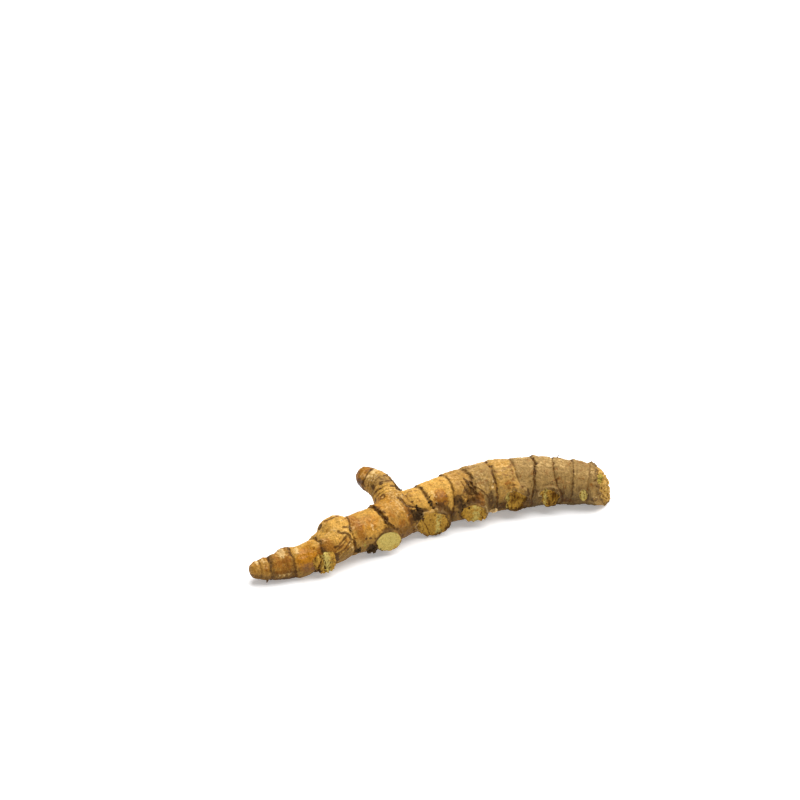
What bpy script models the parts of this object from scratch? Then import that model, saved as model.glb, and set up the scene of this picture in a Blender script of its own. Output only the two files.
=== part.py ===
"""A white turmeric root, lying on a table: one fleshy rhizome that grew as one piece.

It runs along X, with its growing tip at -X and its broken end at +X. Side shoots were cut
off along its front (-Y), and one short finger stands up at its back (+Y). The scars of its
scale leaves ring it. Places are in millimetres and reach Blender in metres, with +Z up.
"""

import math
from dataclasses import dataclass

import bmesh
import bpy
import numpy as np

MM = 0.001

# The whole root
SKIN_COLOUR = (0.46, 0.27, 0.10, 1.0)
SKIN_ROUGHNESS = 0.55
SIDES = 32
LOOP_SPACING = 1.9
INTERNODE_BULGE = 0.22
UNEVENNESS = 0.16
SWELL_LENGTHS = (14.0, 30.0)
THIN_STEM = 5.0
LEAST_RING_GAP = 1.3
FOOTPRINT_MIDDLE = (1.02, 4.597)
SEED = 7

# The table side
TABLE_SLAB = 20.0

# The growths on the rhizome
FINGER_SIDES = 16
STUB_SIDES = 18
BUD_SIDES = 12
ROOTLET_SIDES = 6
ROOTLET_LOOPS = 4


@dataclass(frozen=True)
class Station:
    """The middle and the radius of a stem at one place, in millimetres."""

    x: float
    y: float
    z: float
    radius: float


@dataclass(frozen=True)
class Ring:
    """A leaf scar round a stem.

    place is how far from the tip it crosses the front, and slant how much further it crosses
    the top. step is how far the skin rises behind it, or falls where it is negative. Each bend
    carries it back round a bud: the turn of the bud in degrees, and how far.
    """

    place: float
    step: float
    slant: float = 0.0
    bends: tuple = ()


@dataclass(frozen=True)
class Stub:
    """The base of a side shoot that was cut off.

    place and turn say where it leaves the rhizome: turn is 0 at the front, 90 on top and 180
    at the back. lean is its slope towards the tip. reach is from the rhizome's middle to the
    cut, tall is the cut's height for its width, pitch and yaw tilt it, and shoulder widens
    the base.
    """

    place: float
    turn: float
    lean: float
    reach: float
    radius: float
    tall: float = 1.0
    pitch: float = 0.0
    yaw: float = 0.0
    shoulder: float = 0.25


@dataclass(frozen=True)
class Bud:
    """A resting bud: a low dome with the scar of its scale round it."""

    place: float
    turn: float
    lean: float
    reach: float
    radius: float


RHIZOME = (
    Station(-67.6, -9.6, 4.4, 2.7),
    Station(-66.2, -9.5, 4.4, 3.1),
    Station(-63.6, -9.4, 4.3, 3.7),
    Station(-57.0, -9.4, 4.3, 4.6),
    Station(-48.9, -9.5, 5.1, 5.3),
    Station(-43.5, -8.6, 6.3, 5.8),
    Station(-36.5, -6.4, 7.5, 6.4),
    Station(-30.5, -4.6, 7.9, 6.4),
    Station(-24.2, -3.4, 8.0, 7.0),
    Station(-17.5, -1.2, 8.0, 7.3),
    Station(-10.5, 1.9, 7.9, 7.3),
    Station(1.1, 4.6, 8.1, 8.0),
    Station(8.3, 5.8, 8.4, 8.6),
    Station(19.1, 7.2, 8.7, 9.0),
    Station(28.0, 7.6, 8.9, 9.2),
    Station(41.7, 6.5, 8.6, 8.9),
    Station(56.3, 2.7, 7.8, 8.0),
    Station(67.5, -2.6, 7.2, 7.3),
    Station(73.0, -5.7, 7.0, 7.0),
)

RINGS = (
    Ring(2.1, 0.15),
    Ring(5.8, 0.40),
    Ring(14.4, 0.55, bends=((140, -1.8),)),
    Ring(21.8, 0.65, slant=2.8),
    Ring(35.2, 0.55, slant=0.6, bends=((130, 2.2),)),
    Ring(47.6, 0.60, bends=((-20, 4.2),)),
    Ring(55.8, -0.45, bends=((-45, 4.6), (115, 2.4))),
    Ring(64.2, -0.80, slant=-3.2),
    Ring(68.0, 0.35, bends=((-26, 3.0),)),
    Ring(76.6, 0.45, slant=1.6, bends=((190, 2.5),)),
    Ring(85.4, 0.70, slant=1.4, bends=((-28, 3.0),)),
    Ring(95.9, 0.50, bends=((180, 2.4),)),
    Ring(104.2, 0.40, bends=((-28, 5.4),)),
    Ring(109.8, 0.60, slant=2.6, bends=((190, 2.0),)),
    Ring(118.8, 0.45, bends=((-22, 4.4), (125, 1.0))),
    Ring(125.8, 0.50, bends=((-24, 1.0), (185, 2.4))),
    Ring(133.2, 0.20),
)
BEND_WIDTH = 32.0
STEP_LENGTH = 2.4
GROOVE = 0.7
GROOVE_END = 0.09
LAST_LOOP = 0.93

# The tip ends in a blunt dome
TIP_DOME = ((-1.5, 0.0), (-1.25, 1.25), (-0.7, 2.15))

# The broken end leans back: its edge is nearer the tip on top and in front than underneath
BREAK_PLACE = 139.4
BREAK_LEAN = 0.35
BREAK_FRONT_LEAN = 0.2
BREAK_BULGE = 1.2
BREAK_ROUGHNESS = 0.4
BREAK_CORNER = 3.4
BREAK_CORNER_TURN = 122.0
BREAK_EDGE = 0.94
BREAK_FACE = (0.66, 0.33)

FINGER = (
    Station(-12.8, 2.0, 8.6, 6.4),
    Station(-12.9, 8.2, 10.4, 5.6),
    Station(-13.2, 12.2, 11.6, 4.8),
    Station(-14.1, 15.7, 12.6, 4.6),
    Station(-16.0, 18.7, 13.2, 4.4),
    Station(-17.9, 21.0, 13.5, 4.1),
    Station(-19.3, 22.4, 13.6, 3.4),
    Station(-20.2, 23.2, 13.7, 2.2),
)
FINGER_RINGS = (
    Ring(8.6, 0.20),
    Ring(11.0, 0.18),
    Ring(13.2, 0.20),
    Ring(15.3, 0.16),
    Ring(17.3, 0.22),
    Ring(20.2, 0.15),
)
FINGER_BULGE = 0.08
FINGER_UNEVENNESS = 0.1
FINGER_CAP = 0.6

STUBS = {
    "first": Stub(24.9, -4, 20, 7.0, 3.7, pitch=-10, shoulder=0.1),
    "second": Stub(50.2, -12, 20, 8.6, 4.8, tall=0.84, pitch=-12, shoulder=0.15),
    "third": Stub(71.2, -13, 20, 9.5, 6.3, tall=0.8, pitch=-12, shoulder=0.12),
    "fourth": Stub(88.5, -10, 20, 11.2, 5.0, tall=0.8, pitch=-10, shoulder=0.35),
    "fifth": Stub(105.2, -1, 12, 10.7, 4.5, tall=1.1, pitch=-6, shoulder=0.3),
    "sixth": Stub(119.2, -3, 8, 9.9, 4.0, pitch=-6, shoulder=0.3),
    "seventh": Stub(131.9, 0, 0, 8.2, 1.6),
    "back left": Stub(76.0, 198, 22, 10.4, 3.9, pitch=10),
    "back right": Stub(109.5, 197, 18, 10.8, 3.8, pitch=8, yaw=8),
}

# A stub starts this share of the stem's radius out from its middle, its cut is hollow by this
# share of its own radius, and its edge is ragged by this share too
STUB_ROOT = 0.15
STUB_DISH = 0.1
STUB_RAGGEDNESS = 0.05
DEGREES_A_MM = 12.0

BUD_ROOT = 0.2
BUDS = {
    "tip": Bud(12.4, 138, 10, 6.4, 3.2),
    "left knob": Bud(32.6, 128, 14, 9.6, 5.2),
    "back middle": Bud(94.0, 184, 26, 12.4, 3.4),
    "back end": Bud(124.0, 186, 15, 10.2, 3.2),
}

# A broken rootlet between the fourth and the fifth stub
ROOTLET = (
    Station(23.7, 2.4, 4.0, 0.8),
    Station(23.9, -0.3, 3.1, 0.7),
    Station(24.3, -2.0, 4.4, 0.6),
    Station(24.9, -2.8, 6.3, 0.7),
)


class Stem:
    """A smooth curve through stations, read by the distance along it in millimetres."""

    STEPS = 16

    def __init__(self, stations):
        given = np.array([(s.x, s.y, s.z, s.radius) for s in stations])
        padded = np.vstack([2 * given[0] - given[1], given, 2 * given[-1] - given[-2]])
        curve = []
        for before, start, end, after in zip(padded, padded[1:], padded[2:], padded[3:]):
            for t in np.arange(self.STEPS) / self.STEPS:
                curve.append(catmull_rom(before, start, end, after, t))
        curve.append(given[-1])
        curve = np.array(curve)
        self.middles = curve[:, :3]
        self.radii = curve[:, 3]
        lengths = np.linalg.norm(np.diff(self.middles, axis=0), axis=1)
        self.places = np.concatenate([[0.0], np.cumsum(lengths)])
        self.length = self.places[-1]
        self.along = unit(np.gradient(self.middles, axis=0))
        self.front = unit(np.cross(self.along, [0.0, 0.0, 1.0]))
        self.top = np.cross(self.front, self.along)

    def read(self, values, place):
        """The values that belong to the curve's points, at these places between them."""
        columns = [np.interp(place, self.places, column) for column in values.T]
        return np.stack(columns, axis=-1)

    def radius(self, place):
        return np.interp(place, self.places, self.radii)

    def outward(self, place, turn):
        """Unit vectors from the middle towards the skin, turn degrees up from the front."""
        angle = np.radians(turn)[..., None]
        return np.cos(angle) * self.read(self.front, place) + np.sin(angle) * self.read(self.top, place)

    def skin(self, place, turn, radius):
        return self.read(self.middles, place) + radius[..., None] * self.outward(place, turn)


def catmull_rom(before, start, end, after, t):
    return 0.5 * (
        2 * start
        + (end - before) * t
        + (2 * before - 5 * start + 4 * end - after) * t**2
        + (3 * start - before - 3 * end + after) * t**3
    )


def unit(vectors):
    return vectors / np.linalg.norm(vectors, axis=-1, keepdims=True)


def ring_line(ring, turns):
    """How far from the tip the ring lies at each turn round the stem."""
    line = ring.place + ring.slant * np.sin(np.radians(turns))
    for bud_turn, distance in ring.bends:
        off = (turns - bud_turn + 180.0) % 360.0 - 180.0
        line = line + distance * np.exp(-0.5 * (off / BEND_WIDTH) ** 2)
    return line


def unevenness(place, turn, draw):
    """Slow swells of the skin, from a few seeded waves round and along the stem."""
    height = np.zeros(np.broadcast(place, turn).shape)
    for waves_round in (1, 2, 3, 4):
        length = draw.uniform(*SWELL_LENGTHS)
        phase = draw.uniform(0.0, 2 * math.pi)
        height += 0.5 * np.sin(2 * math.pi * place / length + waves_round * np.radians(turn) + phase)
    return height


def ringed_skin(stem, rings, turns, end, bulge, draw, swell):
    """Loops of skin points from the first place to the end line, closer at each ring."""
    lines = [np.zeros_like(turns)]
    for ring in rings:
        lines.append(np.maximum(ring_line(ring, turns), lines[-1] + LEAST_RING_GAP))
    lines.append(np.maximum(end, lines[-1] + LEAST_RING_GAP))
    steps = [0.0] + [ring.step for ring in rings] + [0.0]
    loops = []
    for index, (near, far) in enumerate(zip(lines, lines[1:])):
        gap = far - near
        count = max(2, round(float(gap.mean()) / LOOP_SPACING))
        rise, fall = steps[index], -min(steps[index + 1], 0.0)
        for fraction in [0.0, *np.linspace(GROOVE_END, LAST_LOOP, count + 1)]:
            place = near + fraction * gap
            height = bulge * np.sin(math.pi * fraction) + fall * np.exp((place - far) / STEP_LENGTH)
            if fraction == 0.0:
                height = height - GROOVE * abs(rise)
            else:
                height = height + max(rise, 0.0) * np.exp((near - place) / STEP_LENGTH)
            height = height + swell * unevenness(place, turns, np.random.default_rng(draw))
            radius = stem.radius(place)
            loops.append(stem.skin(place, turns, radius + height * np.minimum(1.0, radius / THIN_STEM)))
    return loops, lines[-1]


def closed_skin(name, loops, start, end):
    """A closed mesh object through loops of points, with a point at each end."""
    sides = len(loops[0])
    mesh = bpy.data.meshes.new(name)
    body = bmesh.new()
    first = body.verts.new(start * MM)
    rows = [[body.verts.new(point * MM) for point in loop] for loop in loops]
    last = body.verts.new(end * MM)
    for side in range(sides):
        after = (side + 1) % sides
        body.faces.new((first, rows[0][side], rows[0][after]))
        for near, far in zip(rows, rows[1:]):
            body.faces.new((near[side], far[side], far[after], near[after]))
        body.faces.new((rows[-1][side], last, rows[-1][after]))
    bmesh.ops.recalc_face_normals(body, faces=body.faces)
    body.to_mesh(mesh)
    body.free()
    made = bpy.data.objects.new(name, mesh)
    bpy.context.scene.collection.objects.link(made)
    return made


def break_place(share, radius, turns):
    """How far from the tip the break lies, at a share of the radius out from its middle."""
    out, up = np.cos(np.radians(turns)), np.sin(np.radians(turns))
    lean = BREAK_LEAN * up + BREAK_FRONT_LEAN * np.maximum(out, 0.0)
    corner = BREAK_CORNER * np.exp(-0.5 * ((turns - BREAK_CORNER_TURN) / BEND_WIDTH) ** 2)
    return BREAK_PLACE - share * radius * lean - share**3 * corner + BREAK_BULGE * (1 - share**2)


def make_rhizome(stem):
    turns = np.arange(SIDES) * 360.0 / SIDES
    draw = np.random.default_rng(SEED)
    radius = float(stem.radius(BREAK_PLACE))
    edge = break_place(1.0, radius, turns) + draw.uniform(-BREAK_ROUGHNESS, BREAK_ROUGHNESS, SIDES)
    start = stem.middles[0] + TIP_DOME[0][0] * stem.along[0]
    first = np.zeros(SIDES)
    cap = [
        stem.skin(first, turns, np.full(SIDES, wide)) + out * stem.along[0]
        for out, wide in TIP_DOME[1:]
    ]
    loops, edge = ringed_skin(stem, RINGS, turns, edge, INTERNODE_BULGE, SEED, UNEVENNESS)
    place = break_place(BREAK_EDGE, radius, turns)
    loops.append(stem.skin(place, turns, BREAK_EDGE * stem.radius(place)))
    for share in BREAK_FACE:
        rough = draw.uniform(-BREAK_ROUGHNESS, BREAK_ROUGHNESS, SIDES)
        place = break_place(share, radius, turns) + rough
        loops.append(stem.skin(place, turns, share * stem.radius(place)))
    middle = stem.read(stem.middles, np.array([BREAK_PLACE + BREAK_BULGE]))[0]
    return closed_skin("rhizome", cap + loops, start, middle)


def make_finger():
    stem = Stem(FINGER)
    turns = np.arange(FINGER_SIDES) * 360.0 / FINGER_SIDES
    end = np.full(FINGER_SIDES, stem.length)
    loops, _ = ringed_skin(stem, FINGER_RINGS, turns, end, FINGER_BULGE, SEED, FINGER_UNEVENNESS)
    cap = stem.middles[-1] + FINGER_CAP * stem.along[-1]
    return closed_skin("finger", loops, stem.middles[0], cap)


def growth_axes(stem, growth):
    """The middle where a growth starts, its direction, and the two directions across it."""
    place, turn = np.array([growth.place]), np.array([float(growth.turn)])
    middle = stem.read(stem.middles, place)[0]
    outward = stem.outward(place, turn)[0]
    along = stem.read(stem.along, place)[0]
    lean = math.radians(growth.lean)
    axis = unit(math.cos(lean) * outward - math.sin(lean) * along)
    across = unit(along - axis * (along @ axis))
    return middle, axis, across, np.cross(axis, across)


def growth_loop(axes, distance, radius, turns, tall=1.0, slope=(0.0, 0.0)):
    """One loop round a growth. slope moves it along the axis, in step with its two sides."""
    middle, axis, across, upward = axes
    sideways = radius * np.cos(np.radians(turns))
    rising = tall * radius * np.sin(np.radians(turns))
    out = distance + slope[0] * rising + slope[1] * sideways
    return middle + np.outer(out, axis) + np.outer(sideways, across) + np.outer(rising, upward)


def make_stub(stem, name, stub, draw):
    """A stub, from deep in the rhizome out to its cut. Each loop of its profile has a distance
    out, a share of its radius, and a share of the slope of its cut."""
    axes = growth_axes(stem, stub)
    root = float(stem.radius(stub.place))
    turns = np.arange(STUB_SIDES) * 360.0 / STUB_SIDES
    ragged = 1.0 + STUB_RAGGEDNESS * unevenness(turns / DEGREES_A_MM, turns, draw)
    slope = (math.tan(math.radians(stub.pitch)), math.tan(math.radians(stub.yaw)))
    dish = STUB_DISH * stub.radius
    profile = [
        (0.3 * root, 1.0 + stub.shoulder, 0.0),
        (0.65 * root, 1.0 + 0.95 * stub.shoulder, 0.4),
        (stub.reach - 1.5, 1.0 + 0.5 * stub.shoulder, 1.0),
        (stub.reach - 0.7, 1.03, 1.0),
        (stub.reach - 0.15, 1.0, 1.0),
        (stub.reach, 0.9, 1.0),
        (stub.reach - dish, 0.62, 1.0),
    ]
    loops = []
    for out, wide, sloped in profile:
        tilt = (slope[0] * sloped, slope[1] * sloped)
        loops.append(growth_loop(axes, out, wide * stub.radius * ragged, turns, stub.tall, tilt))
    middle, axis = axes[0], axes[1]
    start = middle + STUB_ROOT * root * axis
    return closed_skin(name, loops, start, middle + (stub.reach - dish) * axis)


def make_bud(stem, name, bud):
    """A bud, from deep in the rhizome out to its point. Each loop of its profile has a distance
    out and a share of its radius, with a small step where its scale ends."""
    axes = growth_axes(stem, bud)
    root = float(stem.radius(bud.place))
    turns = np.arange(BUD_SIDES) * 360.0 / BUD_SIDES
    height = bud.reach - root
    profile = (
        (0.35 * root, 1.12),
        (0.8 * root, 1.08),
        (root + 0.15 * height, 0.94),
        (root + 0.2 * height, 0.84),
        (root + 0.62 * height, 0.68),
        (root + 0.9 * height, 0.34),
    )
    loops = [growth_loop(axes, out, share * bud.radius, turns) for out, share in profile]
    middle, axis = axes[0], axes[1]
    return closed_skin(name, loops, middle + BUD_ROOT * root * axis, middle + bud.reach * axis)


def make_rootlet():
    stem = Stem(ROOTLET)
    turns = np.arange(ROOTLET_SIDES) * 360.0 / ROOTLET_SIDES
    loops = [
        stem.skin(np.full(ROOTLET_SIDES, place), turns, np.full(ROOTLET_SIDES, float(stem.radius(place))))
        for place in np.linspace(0.0, stem.length, ROOTLET_LOOPS)
    ]
    return closed_skin("rootlet", loops, stem.middles[0], stem.middles[-1])


def apply_boolean(target, operation, operand):
    """Joins or cuts with every object of the operand collection, which are then removed."""
    cut = target.modifiers.new("join", "BOOLEAN")
    cut.operation = operation
    cut.operand_type = "COLLECTION"
    cut.collection = operand
    cut.solver = "EXACT"
    bpy.context.view_layer.update()
    graph = bpy.context.evaluated_depsgraph_get()
    result = bpy.data.meshes.new_from_object(target.evaluated_get(graph))
    target.modifiers.remove(cut)
    old = target.data
    target.data = result
    bpy.data.meshes.remove(old)
    for used in list(operand.objects):
        bpy.data.objects.remove(used, do_unlink=True)
    bpy.data.collections.remove(operand)


def gather(name, objects):
    """Moves the objects to a new collection of their own."""
    group = bpy.data.collections.new(name)
    bpy.context.scene.collection.children.link(group)
    for item in objects:
        for home in list(item.users_collection):
            home.objects.unlink(item)
        group.objects.link(item)
    return group


def make_table_slab():
    """A block whose top is the table, to cut the small flats that the root rests on."""
    bpy.ops.mesh.primitive_cube_add(size=1.0, location=(0.0, 0.0, -TABLE_SLAB / 2 * MM))
    slab = bpy.context.active_object
    slab.name = "table slab"
    slab.scale = (10 * TABLE_SLAB * MM, 5 * TABLE_SLAB * MM, TABLE_SLAB * MM)
    slab.display_type = "WIRE"
    slab.hide_render = True
    return slab


def skin_material():
    material = bpy.data.materials.new("turmeric skin")
    material.use_nodes = True
    shader = material.node_tree.nodes["Principled BSDF"]
    shader.inputs["Base Color"].default_value = SKIN_COLOUR
    shader.inputs["Roughness"].default_value = SKIN_ROUGHNESS
    shader.inputs["Metallic"].default_value = 0.0
    return material


def main():
    for old in list(bpy.data.objects):
        bpy.data.objects.remove(old, do_unlink=True)
    stem = Stem(RHIZOME)
    rhizome = make_rhizome(stem)
    draw = np.random.default_rng(SEED + 1)
    growths = [make_finger(), make_rootlet()]
    growths += [make_stub(stem, f"stub {name}", stub, draw) for name, stub in STUBS.items()]
    growths += [make_bud(stem, f"bud {name}", bud) for name, bud in BUDS.items()]
    apply_boolean(rhizome, "UNION", gather("growths", growths))
    apply_boolean(rhizome, "DIFFERENCE", gather("table", [make_table_slab()]))
    for vertex in rhizome.data.vertices:
        vertex.co.x -= FOOTPRINT_MIDDLE[0] * MM
        vertex.co.y -= FOOTPRINT_MIDDLE[1] * MM
    rhizome.data.materials.clear()
    rhizome.data.materials.append(skin_material())
    rhizome.data.shade_smooth()
    rhizome.data.set_sharp_from_angle(angle=math.radians(50))


main()
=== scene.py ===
"""The looks of a white turmeric root that lies on a table.

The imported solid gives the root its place, its size and its main forms. A finer copy of it gets
the leaf scars, wrinkles, pits and cut faces of the real skin. The papery scale remains, the
rootlets and the soil that cling to it are pieces of their own. Places are in millimetres, and
become metres where a mesh is made.
"""

import logging
import math
from dataclasses import dataclass, field
from enum import Enum
from typing import Sequence

import bmesh
import bpy
import numpy as np
from mathutils import Euler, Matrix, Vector, noise
from mathutils.bvhtree import BVHTree


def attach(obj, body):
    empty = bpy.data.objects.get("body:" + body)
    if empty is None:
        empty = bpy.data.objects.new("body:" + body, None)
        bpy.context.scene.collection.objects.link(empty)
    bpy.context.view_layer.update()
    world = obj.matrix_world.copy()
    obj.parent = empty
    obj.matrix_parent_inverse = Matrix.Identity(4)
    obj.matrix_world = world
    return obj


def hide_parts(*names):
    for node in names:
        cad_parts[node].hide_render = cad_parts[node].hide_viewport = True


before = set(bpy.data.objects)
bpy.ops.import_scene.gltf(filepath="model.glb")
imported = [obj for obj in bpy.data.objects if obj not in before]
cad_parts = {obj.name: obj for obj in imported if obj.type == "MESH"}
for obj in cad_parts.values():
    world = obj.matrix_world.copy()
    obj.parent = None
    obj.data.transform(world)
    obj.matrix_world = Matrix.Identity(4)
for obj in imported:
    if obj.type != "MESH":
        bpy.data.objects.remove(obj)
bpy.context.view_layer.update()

MM = 0.001
NODE = "rhizome"
BODY = "root"

# The stations below were measured before the solid was centred on its footprint
FOOTPRINT_MIDDLE = np.array([1.02, 4.597, 0.0])

# How wide a ring's bend round a bud is, in degrees
BEND_WIDTH = 32.0

log = logging.getLogger("turmeric")

Colour = tuple[float, float, float]
Point = tuple[float, float, float]
Span = tuple[float, float]
Array = np.ndarray


# Shader expressions


class Value:
    """A number, colour or vector that a recipe works out at every point of a surface."""

    def __init__(self, recipe: "Recipe", socket: bpy.types.NodeSocket | None) -> None:
        """Wraps an output socket of one of the recipe's nodes."""
        self.recipe = recipe
        self.socket = socket

    def _maths(self, operation: str, first: "Value | float", second: "Value | float") -> "Value":
        """Joins two numbers in a Math node.

        Args:
            operation: the Math node's operation.
            first: the left side.
            second: the right side.

        Returns:
            The node's result.
        """
        return self.recipe.node("ShaderNodeMath", {"operation": operation}, {0: first, 1: second})

    def __add__(self, other: "Value | float") -> "Value":
        """The sum."""
        return self._maths("ADD", self, other)

    __radd__ = __add__

    def __sub__(self, other: "Value | float") -> "Value":
        """The difference."""
        return self._maths("SUBTRACT", self, other)

    def __rsub__(self, other: float) -> "Value":
        """A number less this value."""
        return self._maths("SUBTRACT", other, self)

    def __mul__(self, other: "Value | float") -> "Value":
        """The product."""
        return self._maths("MULTIPLY", self, other)

    __rmul__ = __mul__

    def __truediv__(self, other: "Value | float") -> "Value":
        """The quotient."""
        return self._maths("DIVIDE", self, other)

    def __abs__(self) -> "Value":
        """The distance from zero."""
        return self._maths("ABSOLUTE", self, 0.0)

    def step(self, low: float, high: float) -> "Value":
        """A smooth step that is 0 at low and 1 at high.

        Args:
            low: where the step is 0.
            high: where the step is 1, above or below low.

        Returns:
            The step, between 0 and 1.
        """
        ends = {"Value": self, "From Min": low, "From Max": high, "To Min": 0.0, "To Max": 1.0}
        if high < low:
            ends.update({"From Min": high, "From Max": low, "To Min": 1.0, "To Max": 0.0})
        return self.recipe.node("ShaderNodeMapRange", {"interpolation_type": "SMOOTHSTEP"}, ends)


class Recipe:
    """The nodes of one material, added as expressions."""

    def __init__(self, name: str) -> None:
        """Starts an empty material.

        Args:
            name: the material's name.
        """
        self.material = bpy.data.materials.new(name)
        self.material.use_nodes = True
        self.tree = self.material.node_tree
        self.tree.nodes.clear()

    def node(
        self,
        kind: str,
        settings: dict[str, str | bool],
        inputs: dict[str | int, "Value | float | tuple"],
        output: str | int = 0,
    ) -> Value:
        """Adds one node: its settings first, then what its sockets take.

        Args:
            kind: the node's type.
            settings: the node's own settings.
            inputs: a value or a constant for each input, by name or number.
            output: which output to return.

        Returns:
            The chosen output, or an empty value for a node that has none.
        """
        made = self.tree.nodes.new(kind)
        for name, setting in settings.items():
            setattr(made, name, setting)
        for name, source in inputs.items():
            target = made.inputs[name]
            if isinstance(source, Value):
                self.tree.links.new(source.socket, target)
            elif target.type == "RGBA":
                target.default_value = (*source, 1.0)
            else:
                target.default_value = source
        return Value(self, made.outputs[output] if made.outputs else None)

    def number(self, name: str) -> Value:
        """The number that the mesh holds under this name at each point."""
        return self.node("ShaderNodeAttribute", {"attribute_name": name}, {}, "Fac")

    def vector(self, name: str) -> Value:
        """The vector that the mesh holds under this name at each point."""
        return self.node("ShaderNodeAttribute", {"attribute_name": name}, {}, "Vector")

    def stretch(self, vector: Value, factors: tuple[float, float, float]) -> Value:
        """A vector with each of its three numbers multiplied by a factor."""
        return self.node("ShaderNodeVectorMath", {"operation": "MULTIPLY"}, {0: vector, 1: factors})

    def place(self) -> Value:
        """The point's place on the object, in millimetres."""
        return self.stretch(self.node("ShaderNodeTexCoord", {}, {}, "Object"), (1 / MM, 1 / MM, 1 / MM))

    def clouds(self, where: Value, size: float, detail: float = 3.0, swirl: float = 0.0) -> Value:
        """Cloudy noise, mostly between -1 and 1.

        Args:
            where: the place it is read at.
            size: the width of its largest clouds, in the units of the place.
            detail: how many finer layers it has.
            swirl: how far it is distorted.

        Returns:
            The noise.
        """
        inputs = {"Vector": where, "Scale": 1 / size, "Detail": detail, "Distortion": swirl}
        return self.node("ShaderNodeTexNoise", {}, inputs) * 4.0 - 2.0

    def mix(
        self, share: Value | float, under: Value | Colour, over: Value | Colour, way: str = "MIX"
    ) -> Value:
        """Lays one colour over another.

        Args:
            share: how much of the upper colour shows.
            under: the lower colour.
            over: the upper colour.
            way: the Mix node's blend type.

        Returns:
            The mixed colour.
        """
        settings = {"data_type": "RGBA", "blend_type": way}
        return self.node("ShaderNodeMix", settings, {0: share, 6: under, 7: over}, 2)

    def shaded(self, colour: Value, bright: Value) -> Value:
        """A colour made lighter or darker by a number about 1."""
        grey = self.node("ShaderNodeCombineColor", {}, {0: bright, 1: bright, 2: bright})
        return self.mix(1.0, colour, grey, "MULTIPLY")

    def finish(
        self,
        colour: Value | Colour,
        roughness: Value | float,
        height: Value,
        more: dict[str, Value | float],
    ) -> bpy.types.Material:
        """Joins everything in the surface shader.

        Args:
            colour: the base colour.
            roughness: the roughness.
            height: the fine relief in millimetres.
            more: other inputs of the surface shader.

        Returns:
            The finished material.
        """
        bump = self.node("ShaderNodeBump", {}, {"Strength": 1.0, "Distance": MM, "Height": height})
        inputs = {"Base Color": colour, "Roughness": roughness, "Normal": bump, **more}
        shader = self.node("ShaderNodeBsdfPrincipled", {}, inputs)
        self.node("ShaderNodeOutputMaterial", {}, {"Surface": shader})
        return self.material


# Stems and what grows on them


@dataclass(frozen=True)
class Station:
    """The middle and the radius of a stem at one place."""

    x: float
    y: float
    z: float
    radius: float


@dataclass(frozen=True)
class Remains:
    """Torn remains of a scale leaf on a ring, from one turn to another, with their height."""

    start: float
    end: float
    height: float


@dataclass(frozen=True)
class Ring:
    """A leaf scar round a stem.

    place is how far from the tip it crosses the front. rise is how far the skin stands up
    behind it, or in front of it where it is negative. line and width are the darkness and the
    width of its line, and ragged is how far the line wanders. slant is how much further it
    crosses the top. Each bend carries it back round a bud: the bud's turn in degrees, and how
    far. ahead and behind are how dark the skin is stained towards the tip and towards the
    break, over spread.
    """

    place: float
    rise: float
    line: float
    width: float
    ragged: float
    slant: float = 0.0
    bends: tuple[tuple[float, float], ...] = ()
    ahead: float = 0.0
    behind: float = 0.0
    spread: float = 1.5
    remains: tuple[Remains, ...] = ()


@dataclass(frozen=True)
class Tone:
    """How much of each skin tone shows between two rings, laid over plain tan."""

    honey: float = 0.0
    amber: float = 0.0
    ash: float = 0.0
    plum: float = 0.0


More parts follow.
